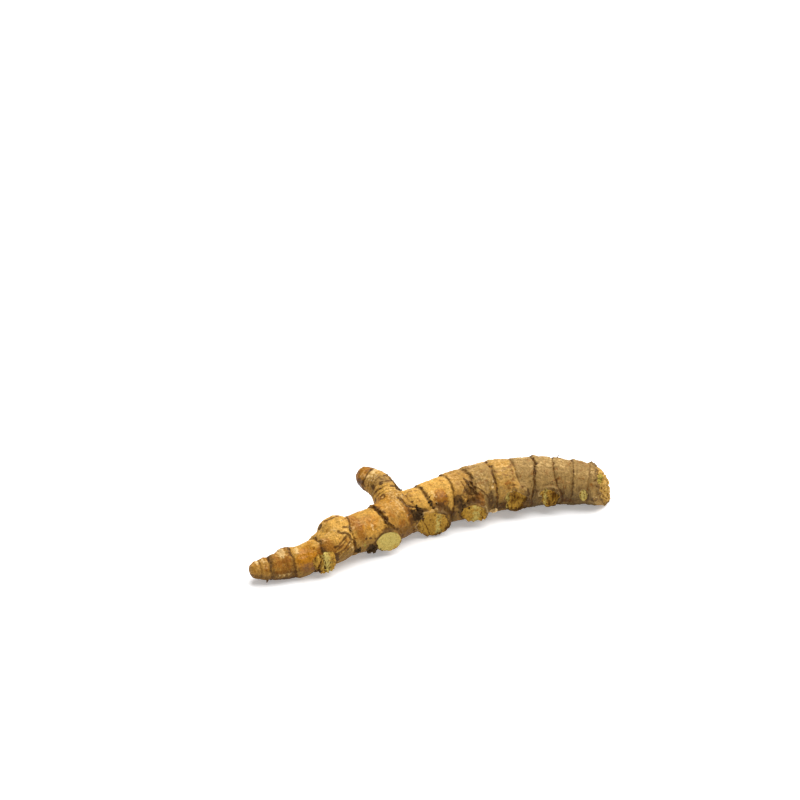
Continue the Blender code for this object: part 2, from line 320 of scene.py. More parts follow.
class Stem:
    """A smooth curve through stations, read by the distance along it from the tip."""

    STEPS = 16

    def __init__(self, stations: Sequence[Station]) -> None:
        """Runs a Catmull-Rom curve through the stations.

        Args:
            stations: the stem's stations from its first to its last.
        """
        given = np.array([(s.x, s.y, s.z, s.radius) for s in stations])
        given[:, :3] -= FOOTPRINT_MIDDLE
        padded = np.vstack([2 * given[0] - given[1], given, 2 * given[-1] - given[-2]])
        curve = []
        for a, b, c, d in zip(padded, padded[1:], padded[2:], padded[3:]):
            square, cube = 2 * a - 5 * b + 4 * c - d, 3 * b - a - 3 * c + d
            for t in np.arange(self.STEPS) / self.STEPS:
                curve.append(0.5 * (2 * b + (c - a) * t + square * t**2 + cube * t**3))
        curve = np.array([*curve, given[-1]])
        self.middles = curve[:, :3]
        self.radii = curve[:, 3]
        lengths = np.linalg.norm(np.diff(self.middles, axis=0), axis=1)
        self.places = np.concatenate([[0.0], np.cumsum(lengths)])
        self.length = float(self.places[-1])
        self.along = unit(np.gradient(self.middles, axis=0))
        self.front = unit(np.cross(self.along, [0.0, 0.0, 1.0]))
        self.top = np.cross(self.front, self.along)

    def read(self, values: Array, place: Array) -> Array:
        """The values that belong to the curve's points, at these places between them."""
        return np.stack([np.interp(place, self.places, column) for column in values.T], axis=-1)

    def radius(self, place: Array | float) -> Array:
        """The stem's radius at these places."""
        return np.interp(place, self.places, self.radii)

    def outward(self, place: Array, turn: Array) -> Array:
        """Unit vectors from the middle to the skin, at turns in degrees up from the front."""
        angle = np.radians(turn)[..., None]
        return np.cos(angle) * self.read(self.front, place) + np.sin(angle) * self.read(self.top, place)

    def spoke(self, place: float, turn: float) -> tuple[Array, Array]:
        """The stem's middle at one place, and the unit vector out of it at a turn."""
        at, toward_shade = np.array([place]), np.array([float(turn)])
        return self.read(self.middles, at)[0], self.outward(at, toward_shade)[0]

    def circle(self, place: Array, turn: Array) -> Array:
        """Where the skin lies at places and turns, seen along the stem."""
        angle, radius = np.radians(turn), self.radius(place)
        return np.stack([radius * np.cos(angle), radius * np.sin(angle)], axis=-1)

    def locate(self, points: Array) -> tuple[Array, Array, Array]:
        """Finds where points lie on the stem.

        Args:
            points: the points in millimetres.

        Returns:
            How far along each point is, its turn in degrees, and its distance from the middle.
        """
        nearest = np.full(len(points), np.inf)
        index = np.zeros(len(points), int)
        for i, middle in enumerate(self.middles):
            distance = ((points - middle) ** 2).sum(axis=1)
            closer = distance < nearest
            nearest[closer] = distance[closer]
            index[closer] = i
        place = self.places[index] + ((points - self.middles[index]) * self.along[index]).sum(axis=1)
        arm = points - self.read(self.middles, place)
        out = (arm * self.read(self.front, place)).sum(axis=1)
        up = (arm * self.read(self.top, place)).sum(axis=1)
        return place, np.degrees(np.arctan2(up, out)), np.hypot(out, up)


def unit(vectors: Array) -> Array:
    """The vectors at length 1."""
    return vectors / np.linalg.norm(vectors, axis=-1, keepdims=True)


def ease(values: Array, low: float, high: float) -> Array:
    """A smooth step that is 0 at low and 1 at high, which may be the lower of the two."""
    share = np.clip((values - low) / (high - low), 0.0, 1.0)
    return share * share * (3 - 2 * share)


def waver(points: Array, size: float, layers: int = 3, seed: float = 0.0) -> Array:
    """Smooth random heights, mostly between -0.6 and 0.6.

    Args:
        points: where they are read.
        size: how far apart the swells are, in the units of the points.
        layers: how many finer layers there are.
        seed: a number that picks another draw.

    Returns:
        One height for each point.
    """
    moved = points / size + 17.3 * seed
    return np.array([noise.fractal(point, 1.0, 2.0, layers) for point in moved.tolist()])


def hump(values: Array, middle: float, width: float) -> Array:
    """A round hump that is 1 at the middle and nearly 0 two widths away."""
    return np.exp(-(((values - middle) / width) ** 2))


def hidden_turn(draw: np.random.Generator, low_share: float, low: Span, back: Span) -> float:
    """Draws a turn low on the root, with this share as its chance, or one behind it."""
    return draw.uniform(*(low if draw.random() < low_share else back))


def turn_gap(turn: Array, other: float) -> Array:
    """How many degrees a turn is past another, between -180 and 180."""
    return (turn - other + 180.0) % 360.0 - 180.0


def bend_share(turn: Array, middle: float) -> Array:
    """How much of a bend at one turn round a stem reaches the others."""
    return np.exp(-0.5 * (turn_gap(turn, middle) / BEND_WIDTH) ** 2)


@dataclass(frozen=True)
class CutLook:
    """How a cut face looks.

    torn and pale are how torn and how pale its flesh is, recess is how deep it lies in its
    rim, rim is how high the rim stands and how strong the painted highlight on its lit side
    is, and gap is how deep the gap round it is and how dark its painted shade is.
    """

    torn: float
    pale: float
    recess: float
    rim: float
    gap: float


class Cut(Enum):
    """How a side shoot came off."""

    CLEAN = CutLook(torn=0.05, pale=0.78, recess=0.0, rim=0.15, gap=0.45)
    DRIED = CutLook(torn=0.35, pale=0.15, recess=0.3, rim=0.3, gap=0.45)
    TORN = CutLook(torn=0.75, pale=0.15, recess=0.6, rim=0.4, gap=0.4)
    RAGGED = CutLook(torn=0.75, pale=0.05, recess=0.1, rim=0.0, gap=0.15)
    HEALED = CutLook(torn=0.65, pale=0.5, recess=0.2, rim=0.3, gap=0.3)


@dataclass(frozen=True)
class Stub:
    """The base of a side shoot that came off.

    place and turn say where it leaves the rhizome, and lean is its slope towards the tip.
    reach is from the rhizome's middle to the cut, tall is the cut's height for its width, and
    pitch and yaw tilt it. open is how much of its radius is open flesh, and drop how far the
    middle of the flesh lies below its own, as a share of its radius. shade is the direction in
    which the gap round it is deepest and darkest with painted shade, and in which its rim has a
    dark painted edge, in degrees up from the side of the break; the rim's other side gets a pale
    painted highlight. pale_side and pale_width place a band of paler flesh across it, and hole
    is the middle of a hollow in it, darkened as torn flesh and as painted shade, all as shares
    of its radius.
    """

    place: float
    turn: float
    lean: float
    reach: float
    radius: float
    cut: Cut
    tall: float = 1.0
    pitch: float = 0.0
    yaw: float = 0.0
    open: float = 0.96
    drop: float = 0.0
    shade: float = 180.0
    pale_side: float = 0.0
    pale_width: float = 0.3
    hole: tuple[float, float] = (0.0, 9.0)


class Stain(Enum):
    """What a mark on the skin is, by the name of the number that holds it."""

    SOIL = "soil"
    UMBER = "umber"
    RUST = "rust"
    PALE = "pale"
    GREEN = "green"
    WRINKLE = "wrinkle"
    FOLD = "fold"
    SWELL = "swell"
    AMBER = "amber"


@dataclass(frozen=True)
class Mark:
    """A patch on a stem: its middle, its half length along and half width round, its strength."""

    stain: Stain
    place: float
    turn: float
    length: float
    width: float
    strength: float = 1.0

    def share(self, stem: Stem, place: Array, turn: Array) -> Array:
        """How strongly the mark shows, fading from half its size to one and a half times its size.

        Args:
            stem: the stem that the mark is on.
            place: how far along the stem each point is.
            turn: the turn of each point.

        Returns:
            The strength at each point.
        """
        round_it = np.radians(turn_gap(turn, self.turn)) * stem.radius(self.place)
        away = np.hypot((place - self.place) / self.length, round_it / self.width)
        return self.strength * ease(away, 1.5, 0.5)


def marks(table: dict[Stain, Sequence[tuple[float, ...]]]) -> tuple[Mark, ...]:
    """The marks of a table that gives each stain their places, turns, lengths, widths and strengths."""
    return tuple(Mark(stain, *sizes) for stain, rows in table.items() for sizes in rows)


@dataclass(frozen=True)
class Crease:
    """A fine line in the skin through points of a place and a turn.

    width is half its width, dark how dark it is, depth how deep it lies, and step how far the
    skin stands up on the left of it, going from its first point to its last.
    """

    path: tuple[tuple[float, float], ...]
    width: float = 0.25
    dark: float = 0.8
    depth: float = 0.15
    step: float = 0.0

    def gap(self, stem: Stem, place: Array, turn: Array) -> tuple[Array, Array]:
        """How far points are from the line.

        Args:
            stem: the stem that the line is on.
            place: how far along the stem each point is.
            turn: the turn of each point.

        Returns:
            The distance of each point in millimetres, and whether it is on the line's left.
        """
        radius = float(stem.radius(self.path[0][0]))
        here = np.column_stack([place, radius * np.radians(turn)])
        knots = np.array([(along, radius * math.radians(round_it)) for along, round_it in self.path])
        nearest, left = np.full(len(place), np.inf), np.zeros(len(place), bool)
        for start, end in zip(knots, knots[1:]):
            run, arm = end - start, here - start
            share = np.clip(arm @ run / (run @ run), 0.0, 1.0)
            away = np.hypot(*(arm - share[:, None] * run).T)
            closer = away < nearest
            nearest[closer] = away[closer]
            left[closer] = (run[0] * arm[:, 1] - run[1] * arm[:, 0] > 0)[closer]
        return nearest, left


@dataclass(frozen=True)
class Seam:
    """A place where a growth flows into the body, within a radius of a point out from the middle."""

    place: float
    turn: float
    out: float
    radius: float


SPINE = Stem(
    (
        Station(-67.6, -9.6, 4.4, 2.7),
        Station(-66.2, -9.5, 4.4, 3.1),
        Station(-63.6, -9.4, 4.3, 3.7),
        Station(-57.0, -9.4, 4.3, 4.6),
        Station(-48.9, -9.5, 5.1, 5.3),
        Station(-43.5, -8.6, 6.3, 5.8),
        Station(-36.5, -6.4, 7.5, 6.4),
        Station(-30.5, -4.6, 7.9, 6.4),
        Station(-24.2, -3.4, 8.0, 7.0),
        Station(-17.5, -1.2, 8.0, 7.3),
        Station(-10.5, 1.9, 7.9, 7.3),
        Station(1.1, 4.6, 8.1, 8.0),
        Station(8.3, 5.8, 8.4, 8.6),
        Station(19.1, 7.2, 8.7, 9.0),
        Station(28.0, 7.6, 8.9, 9.2),
        Station(41.7, 6.5, 8.6, 8.9),
        Station(56.3, 2.7, 7.8, 8.0),
        Station(67.5, -2.6, 7.2, 7.3),
        Station(73.0, -5.7, 7.0, 7.0),
    )
)
SPINE_RINGS = (
    Ring(2.0, 0.1, 0.45, 0.25, 0.15),
    Ring(5.3, 0.35, 0.5, 0.3, 0.25, behind=1.0, spread=2.8),
    Ring(14.2, 0.45, 0.45, 0.45, 0.5, bends=((140, -1.2),), ahead=0.6, spread=1.8,
         remains=(Remains(60, 120, 0.5),)),
    Ring(21.8, 0.5, 0.6, 0.5, 0.6, slant=2.8, behind=0.5, ahead=0.15, spread=1.8,
         remains=(Remains(-70, 10, 0.9), Remains(66, 96, 0.6))),
    Ring(35.2, 0.5, 0.5, 0.4, 0.35, slant=0.6, bends=((130, 2.2),), behind=0.35, spread=1.0,
         remains=(Remains(52, 80, 0.9), Remains(150, 250, 0.8))),
    Ring(48.0, 0.45, 0.85, 0.75, 0.8, bends=((-20, 4.2),), behind=0.35, ahead=0.35, spread=1.0,
         remains=(Remains(24, 96, 0.8), Remains(180, 280, 0.9))),
    Ring(55.1, -0.3, 0.4, 0.22, 0.15, bends=((-35, 5.6), (125, 2.6))),
    Ring(64.2, -0.6, 0.7, 0.4, 0.25, slant=-3.2, behind=0.2, ahead=0.4, spread=1.5,
         remains=(Remains(-140, -60, 0.8),)),
    Ring(68.0, 0.3, 0.6, 0.8, 0.5, bends=((-26, 3.0),), ahead=0.45, behind=0.7, spread=1.5,
         remains=(Remains(30, 60, 0.5), Remains(190, 250, 0.7))),
    Ring(76.4, 0.35, 0.65, 0.3, 0.2, slant=2.6, bends=((190, 2.5),), behind=0.3, spread=1.0),
    Ring(85.4, 0.4, 0.5, 0.7, 0.7, slant=1.4, bends=((-28, 3.0),), ahead=0.4, spread=2.0,
         remains=(Remains(30, 80, 0.8), Remains(150, 230, 0.8))),
    Ring(95.6, 0.5, 0.75, 0.35, 0.35, bends=((180, 2.4),), ahead=0.35, spread=1.2,
         remains=(Remains(-64, -34, 0.6), Remains(30, 56, 0.5))),
    Ring(104.2, 0.25, 0.4, 0.25, 0.25, bends=((-28, 5.0),), behind=0.25),
    Ring(109.8, 0.5, 0.75, 0.5, 0.7, slant=2.6, bends=((190, 2.0),), ahead=0.5, spread=1.2,
         remains=(Remains(34, 84, 0.8), Remains(-60, -20, 0.6), Remains(150, 260, 0.7))),
    Ring(118.9, 0.35, 0.7, 0.3, 0.35, bends=((-22, 4.4), (125, 1.0)), ahead=0.15, spread=0.8,
         remains=(Remains(100, 150, 0.4),)),
    Ring(125.9, 0.35, 0.75, 0.3, 0.35, slant=1.0, bends=((-24, 1.0), (185, 2.4)),
         remains=(Remains(-76, -40, 0.5),)),
    Ring(133.3, 0.15, 0.4, 0.25, 0.35),
)
SPINE_TONES = (
    Tone(honey=0.1, amber=0.35),
    Tone(honey=0.1, amber=0.3, plum=0.1),
    Tone(honey=0.2, amber=0.3, plum=0.22),
    Tone(honey=0.75, amber=0.35),
    Tone(honey=0.85, amber=0.1),
    Tone(honey=0.65, amber=0.3),
    Tone(honey=0.25, amber=0.35),
    Tone(honey=0.4, amber=0.25),
    Tone(honey=0.8, amber=0.05),
    Tone(honey=0.9, amber=0.1),
    Tone(honey=0.35, ash=0.35),
    Tone(honey=0.6, ash=0.6),
    Tone(honey=0.65, ash=0.45),
    Tone(honey=0.05, ash=0.85),
    Tone(honey=0.1, ash=0.85),
    Tone(honey=0.05, ash=0.85),
    Tone(honey=0.05, ash=0.85),
    Tone(honey=0.05, ash=0.9),
)
SPINE_MARKS = marks(
    {
        Stain.PALE: (
            (1.3, 95, 0.5, 1.3, 0.9), (3.4, 90, 0.8, 1.6, 0.5), (10.4, 100, 1.5, 2.4, 0.7),
            # The pale mark at place 15.9, turn 84 is a painted highlight on the top of the amber part.
            (9.4, -6, 3.4, 0.5, 0.45), (15.9, 84, 0.8, 1.6, 0.8), (33.8, 16, 1.4, 2.6, 0.4),
            (43.4, 45, 0.5, 1.6, 0.6), (56.4, 60, 0.5, 4.0, 0.35), (57.8, 98, 2.6, 4.5, 0.35),
            (70.8, 54, 0.9, 3.2, 0.4), (90.6, 58, 2.8, 4.2, 0.3), (94.6, 46, 0.4, 0.5, 1.2),
            (94.0, 35, 0.5, 0.6, 1.2),
        ),
        Stain.RUST: (
            (4.0, 30, 1.0, 2.5, 0.6), (9.4, 40, 3.5, 4.0, 0.7), (19.8, 6, 3.0, 2.0, 0.7),
            (25.2, 46, 2.4, 3.6, 1.1), (23.8, 20, 2.6, 3.0, 1.2), (30.4, 26, 4.0, 3.2, 0.7),
            (30.6, 112, 0.7, 0.9, 0.9), (38.2, 78, 2.6, 4.0, 1.0), (38.8, 28, 2.6, 2.0, 0.8),
            (51.0, 56, 1.4, 1.6, 0.6), (53.2, 20, 1.6, 1.8, 0.9), (57.8, 34, 1.8, 4.4, 1.1),
            (72.4, 40, 3.6, 3.0, 0.9), (87.4, 16, 2.6, 2.2, 1.0), (101.0, 33, 2.4, 1.6, 0.8),
            (137.0, 112, 1.4, 3.4, 1.0),
        ),
        Stain.GREEN: (
            (12.2, 92, 0.9, 1.2, 0.35), (39.7, -5, 0.7, 1.3, 0.6), (137.4, 58, 0.9, 2.6, 1.7),
        ),
        Stain.UMBER: (
            (13.6, 112, 0.6, 0.8, 1.2), (9.6, -30, 4.6, 1.2, 0.8), (24.4, 42, 1.2, 2.2, 0.6),
            (27.6, 14, 1.2, 1.4, 0.6), (28.3, 121, 0.8, 0.9, 1.3), (27.2, -3, 0.5, 1.5, 1.1),
            (40.4, 16, 0.5, 0.5, 1.1), (41.9, 14, 0.6, 0.5, 1.1), (58.6, 26, 1.4, 4.0, 0.9),
            (61.6, 2, 1.6, 3.4, 0.7), (61.9, 64, 1.0, 0.45, 1.2), (61.0, 92, 0.7, 0.8, 0.9),
            (68.6, 94, 0.6, 0.9, 1.0), (73.0, 22, 3.4, 3.0, 0.75), (79.2, 24, 1.8, 3.0, 1.0),
            # The umber mark at place 98.0, turn -24 is painted shade low between two stubs.
            (84.6, 34, 2.4, 4.6, 0.8), (92.4, 4, 1.4, 4.0, 0.9), (98.0, -24, 2.2, 2.6, 1.0),
            (107.8, 0, 0.9, 2.8, 1.2), (111.4, 20, 1.4, 5.0, 0.6), (126.9, -14, 3.0, 2.5, 0.5),
            (133.0, -14, 1.6, 1.4, 0.9),
        ),
        Stain.AMBER: (
            (18.6, 34, 3.2, 4.2, 0.8), (42.0, 60, 4.0, 3.4, 0.35), (73.2, 46, 2.6, 3.4, 0.7),
        ),
        Stain.SOIL: (
            (21.6, -27, 2.2, 1.2, 0.9), (36.4, -15, 1.2, 1.8, 1.2), (42.8, -30, 2.6, 2.4, 1.2),
            (61.9, 26, 2.6, 2.6, 1.6), (63.4, 16, 1.6, 1.6, 1.0), (69.0, 42, 1.0, 4.0, 0.6),
            (80.8, 2, 2.0, 4.4, 1.0), (55.0, -130, 6.0, 4.0, 0.7), (92.0, -110, 5.0, 4.0, 0.6),
            (70.0, 215, 5.0, 4.0, 0.8), (112.0, 225, 4.0, 4.0, 0.7),
        ),
        Stain.SWELL: (
            (36.0, 112, 2.6, 3.6, 1.0), (28.6, 66, 3.0, 3.0, 0.6),
        ),
        Stain.WRINKLE: (
            (30.8, 24, 4.0, 3.6, 1.0), (100.0, 150, 6.0, 4.0, 0.6), (42.0, 170, 5.0, 4.0, 0.8),
        ),
        Stain.FOLD: (
            (84.8, 42, 2.4, 5.0, 1.0), (111.0, 44, 1.6, 3.8, 0.9),
        ),
    }
)
SPINE_CREASES = (
    Crease(((0.7, 130), (0.6, 60), (1.1, 0)), width=0.15, dark=0.35, depth=0.05),
    Crease(((31.4, 70), (33.6, 56), (34.2, 48), (34.5, 36), (35.4, 8)), width=0.42, dark=1.0, depth=0.3,
           step=0.3),
    Crease(((33.6, 76), (35.0, 73), (35.2, 63), (35.1, 52)), width=0.3, dark=0.9, step=0.25),
    Crease(((27.0, 34), (28.8, 34), (30.6, 37), (32.0, 42), (33.2, 46)), width=0.32, dark=1.0, depth=0.25,
           step=0.2),
    Crease(((28.2, 24), (30.4, 27), (32.6, 34)), width=0.3, dark=0.85, depth=0.2, step=0.2),
    Crease(((28.2, 12), (30.0, 14), (32.2, 20), (33.4, 26)), width=0.32, dark=0.9, depth=0.25, step=0.2),
    Crease(((29.6, 2), (31.6, 6), (33.6, 12)), width=0.3, dark=0.8, depth=0.2, step=0.2),
    Crease(((28.6, 122), (31.0, 113), (34.2, 109)), width=0.3, dark=0.9, step=-0.15),
    Crease(((34.6, 108), (37.0, 100), (36.9, 84)), width=0.3, dark=0.9, step=-0.15),
    Crease(((58.4, 96), (58.6, 72), (59.0, 60), (60.9, 49), (63.6, 37), (66.4, 24)), width=0.45, dark=1.0,
           depth=0.3),
    Crease(((62.0, 0), (62.4, 10), (65.6, 20)), width=0.2, dark=0.6, step=0.2),
    Crease(((82.4, 66), (82.8, 46), (84.0, 33), (85.2, 20)), width=0.3, dark=0.9, step=0.3),
    Crease(((84.2, 74), (84.8, 52), (86.2, 36), (87.6, 26)), width=0.35, dark=1.0, depth=0.25, step=0.35),
    Crease(((85.9, 62), (87.3, 42), (89.4, 30), (91.3, 14)), width=0.35, dark=1.0, step=0.3),
    Crease(((81.4, 36), (82.6, 24), (83.2, 8)), width=0.25, dark=0.8, step=0.2),
    Crease(((96.8, 90), (95.6, 66), (95.2, 46), (94.0, 36)), width=0.3, dark=0.9, depth=0.2, step=-0.2),
    Crease(((101.0, 30), (102.8, 32), (104.6, 24), (107.6, 8), (108.4, -8)), width=0.25, dark=0.8,
           step=0.2),
    Crease(((122.2, 34), (122.8, 16), (124.0, -10), (124.6, -30)), width=0.22, dark=0.6, step=0.15),
    Crease(((134.4, 30), (135.6, 32), (137.0, 28)), width=0.2, dark=0.5),
)
FINGER = Stem(
    (
        Station(-12.8, 2.0, 8.6, 6.4),
        Station(-12.9, 8.2, 10.4, 5.6),
        Station(-13.2, 12.2, 11.6, 4.8),
        Station(-14.1, 15.7, 12.6, 4.6),
        Station(-16.0, 18.7, 13.2, 4.4),
        Station(-17.9, 21.0, 13.5, 4.1),
        Station(-19.3, 22.4, 13.6, 3.4),
        Station(-20.2, 23.2, 13.7, 2.2),
    )
)
FINGER_RINGS = (
    Ring(7.6, 0.2, 0.4, 0.25, 0.3, remains=(Remains(30, 60, 0.6),)),
    Ring(9.7, 0.25, 0.7, 0.3, 0.4, remains=(Remains(24, 62, 0.8),)),
    Ring(11.9, 0.25, 0.6, 0.3, 0.4, remains=(Remains(24, 64, 0.8),)),
    Ring(14.2, 0.22, 0.6, 0.25, 0.35, remains=(Remains(28, 64, 0.7),)),
    Ring(16.6, 0.15, 0.35, 0.2, 0.25, remains=(Remains(30, 56, 0.5),)),
    Ring(19.0, 0.3, 0.75, 0.3, 0.15, behind=0.1, ahead=0.3, spread=0.9),
    Ring(22.2, 0.12, 0.35, 0.2, 0.1),
)
FINGER_TONES = (
    Tone(honey=0.95, amber=0.05),
    Tone(honey=0.85),
    Tone(honey=0.7, ash=0.35, plum=0.05),
    Tone(honey=0.6, ash=0.5, plum=0.05),
    Tone(honey=0.7, ash=0.4),
    Tone(honey=0.7, ash=0.4),
    Tone(honey=0.1, amber=0.75, plum=0.28),
    Tone(honey=0.1, amber=0.7, plum=0.28),
)
FINGER_MARKS = marks(
    {
        Stain.UMBER: (
            (11.5, 111, 0.6, 0.8, 1.4), (13.1, 150, 0.9, 0.9, 1.3), (9.6, 125, 0.4, 1.1, 0.9),
            (8.8, 72, 0.7, 1.3, 1.2), (13.0, 84, 0.4, 0.7, 0.8), (6.4, 166, 1.4, 0.9, 1.3),
            # The umber mark at place 20.5, turn 185 is painted shade on the far side of the cap.
            (20.5, 185, 3.0, 2.4, 0.9), (20.5, 60, 2.4, 1.6, 0.6),
        ),
        Stain.PALE: (
            (17.6, 110, 1.2, 4.5, 0.6), (15.4, 130, 1.0, 2.6, 0.4),
        ),
        Stain.SOIL: (
            (11.5, 40, 5.0, 1.5, 1.0), (7.4, 44, 2.0, 1.8, 1.2),
        ),
    }
)
FINGER_CREASES = (
    Crease(((16.2, 170), (16.8, 140), (16.0, 112)), width=0.2, dark=0.6, step=0.12),
    Crease(((14.6, 160), (15.6, 128), (14.8, 100)), width=0.2, dark=0.6, step=0.12),
    Crease(((12.6, 140), (13.6, 112), (13.0, 84)), width=0.2, dark=0.7, step=0.12),
)
STUBS = (
    Stub(24.9, -4, 20, 7.0, 3.7, Cut.RAGGED, pitch=-10, open=1.12, shade=-60, pale_side=0.2,
         pale_width=0.5),
    Stub(50.2, -12, 20, 8.6, 4.8, Cut.CLEAN, tall=0.84, pitch=-12, open=0.97, shade=135),
    Stub(71.2, -13, 20, 9.5, 6.3, Cut.DRIED, tall=0.8, pitch=-12, open=0.93, shade=-30, pale_side=0.32,
         pale_width=0.13),
    Stub(88.5, -10, 20, 11.2, 5.0, Cut.DRIED, tall=0.8, pitch=-10, open=0.92, drop=0.12, shade=190,
         pale_side=0.15, pale_width=0.3),
    Stub(105.2, -1, 12, 10.7, 4.5, Cut.TORN, tall=1.1, pitch=-6, open=0.78, drop=0.1, shade=-90,
         pale_side=-0.75, pale_width=0.25, hole=(-0.1, 0.2)),
    Stub(119.2, -3, 8, 9.9, 4.0, Cut.TORN, pitch=-6, open=0.86, shade=0, pale_side=-0.45, pale_width=0.25,
         hole=(0.32, 0.05)),
    Stub(131.9, 0, 0, 8.2, 1.6, Cut.HEALED, tall=1.5, shade=-30, pale_width=1.0),
    Stub(76.0, 198, 22, 10.4, 3.9, Cut.DRIED, pitch=10, open=0.85, pale_width=0.5),
    Stub(109.5, 197, 18, 10.8, 3.8, Cut.CLEAN, pitch=8, yaw=8),
)
SEAMS = (
    Seam(32.6, 128, 7.5, 8.0),
    Seam(36.6, 112, 6.2, 4.8),
    Seam(28.6, 116, 6.0, 4.8),
    Seam(12.4, 138, 4.5, 4.5),
    Seam(94.0, 184, 10.0, 6.0),
    Seam(124.0, 186, 8.6, 5.6),
    Seam(57.5, 135, 8.5, 7.5),
)


def ring_line(ring: Ring, turns: Array) -> Array:
    """How far from the tip a ring lies.

    Args:
        ring: the ring.
        turns: the turns to read it at.

    Returns:
        The place on the stem at each turn.
    """
    line = ring.place + ring.slant * np.sin(np.radians(turns))
    for turn, distance in ring.bends:
        line = line + distance * bend_share(turns, turn)
    return line


def ring_wander(stem: Stem, ring: Ring, number: int, place: Array, turn: Array) -> Array:
    """How far the ring's line strays from its smooth course at each turn.

    Args:
        stem: the stem that the ring is on.
        ring: the ring.
        number: its number from the tip, which picks the draw.
        place: how far along the stem each point is.
        turn: the turn of each point.

    Returns:
        The distance along the stem.
    """
    around = np.column_stack([np.full(len(place), 9.0 * number), stem.circle(place, turn)])
    return ring.ragged * (0.8 * waver(around, 2.6, 2, number) + 0.5 * waver(around, 0.8, 3, 20 + number))


# The skin of the root


def add_object(name: str, data: bpy.types.ID) -> bpy.types.Object:
    """Puts a new object in the scene.

    Args:
        name: the object's name.
        data: its mesh, lamp or camera.

    Returns:
        The object.
    """
    made = bpy.data.objects.new(name, data)
    bpy.context.scene.collection.objects.link(made)
    return made


def vectors_of(mesh: bpy.types.Mesh, name: str) -> Array:
    """Reads one vector of every vertex of a mesh.

    Args:
        mesh: the mesh.
        name: co for the places, in metres, or normal.

    Returns:
        One row for each vertex.
    """
    values = np.empty(len(mesh.vertices) * 3)
    mesh.vertices.foreach_get(name, values)
    return values.reshape(-1, 3)


def move_points(mesh: bpy.types.Mesh, points: Array) -> None:
    """Moves the vertices of a mesh to these points, given in millimetres."""
    mesh.vertices.foreach_set("co", (points * MM).astype(np.float32).ravel())


@dataclass
class Skin:
    """What is known at each point of the fine skin: its place, and the numbers its finish reads."""

    LEAST_GAP = 1.3
    FAR = 3.0

    points: Array
    normals: Array
    edges: Array
    height: Array = field(init=False)
    numbers: dict[str, Array] = field(default_factory=dict)

    def __post_init__(self) -> None:
        """Starts with a level skin and counts each point's neighbours."""
        self.height = np.zeros(len(self.points))
        self.neighbours = np.bincount(self.edges.ravel(), minlength=len(self.points))

    def soften(self, values: Array, rounds: int) -> Array:
        """Averages values with those of the neighbours.

        Args:
            values: a number or a row for each point.
            rounds: how many times they are averaged.

        Returns:
            The softened values.
        """
        a, b = self.edges.T
        columns = values.reshape(len(values), -1).T
        for _ in range(rounds):
            sums = [np.bincount(a, c[b], len(c)) + np.bincount(b, c[a], len(c)) for c in columns]
            columns = [0.5 * c + 0.5 * near / self.neighbours for c, near in zip(columns, sums)]
        return np.stack(columns, axis=-1).reshape(values.shape)

    def hollow(self, rounds: int) -> Array:
        """How deep each point lies below the average round it, in millimetres."""
        return ((self.soften(self.points, rounds) - self.points) * self.normals).sum(axis=1)

    def add(self, name: str, values: Array | float) -> None:
        """Adds to one of the numbers that the finish reads, which starts at 0."""
        self.numbers[name] = self.numbers.get(name, np.zeros(len(self.points))) + values

    def lay(self, name: str, where: Array, values: Array | float) -> None:
        """Sets one of the numbers where a mask is true, over what is there."""
        before = self.numbers.get(name, np.zeros(len(self.points)))
        self.numbers[name] = np.where(where, values, before)


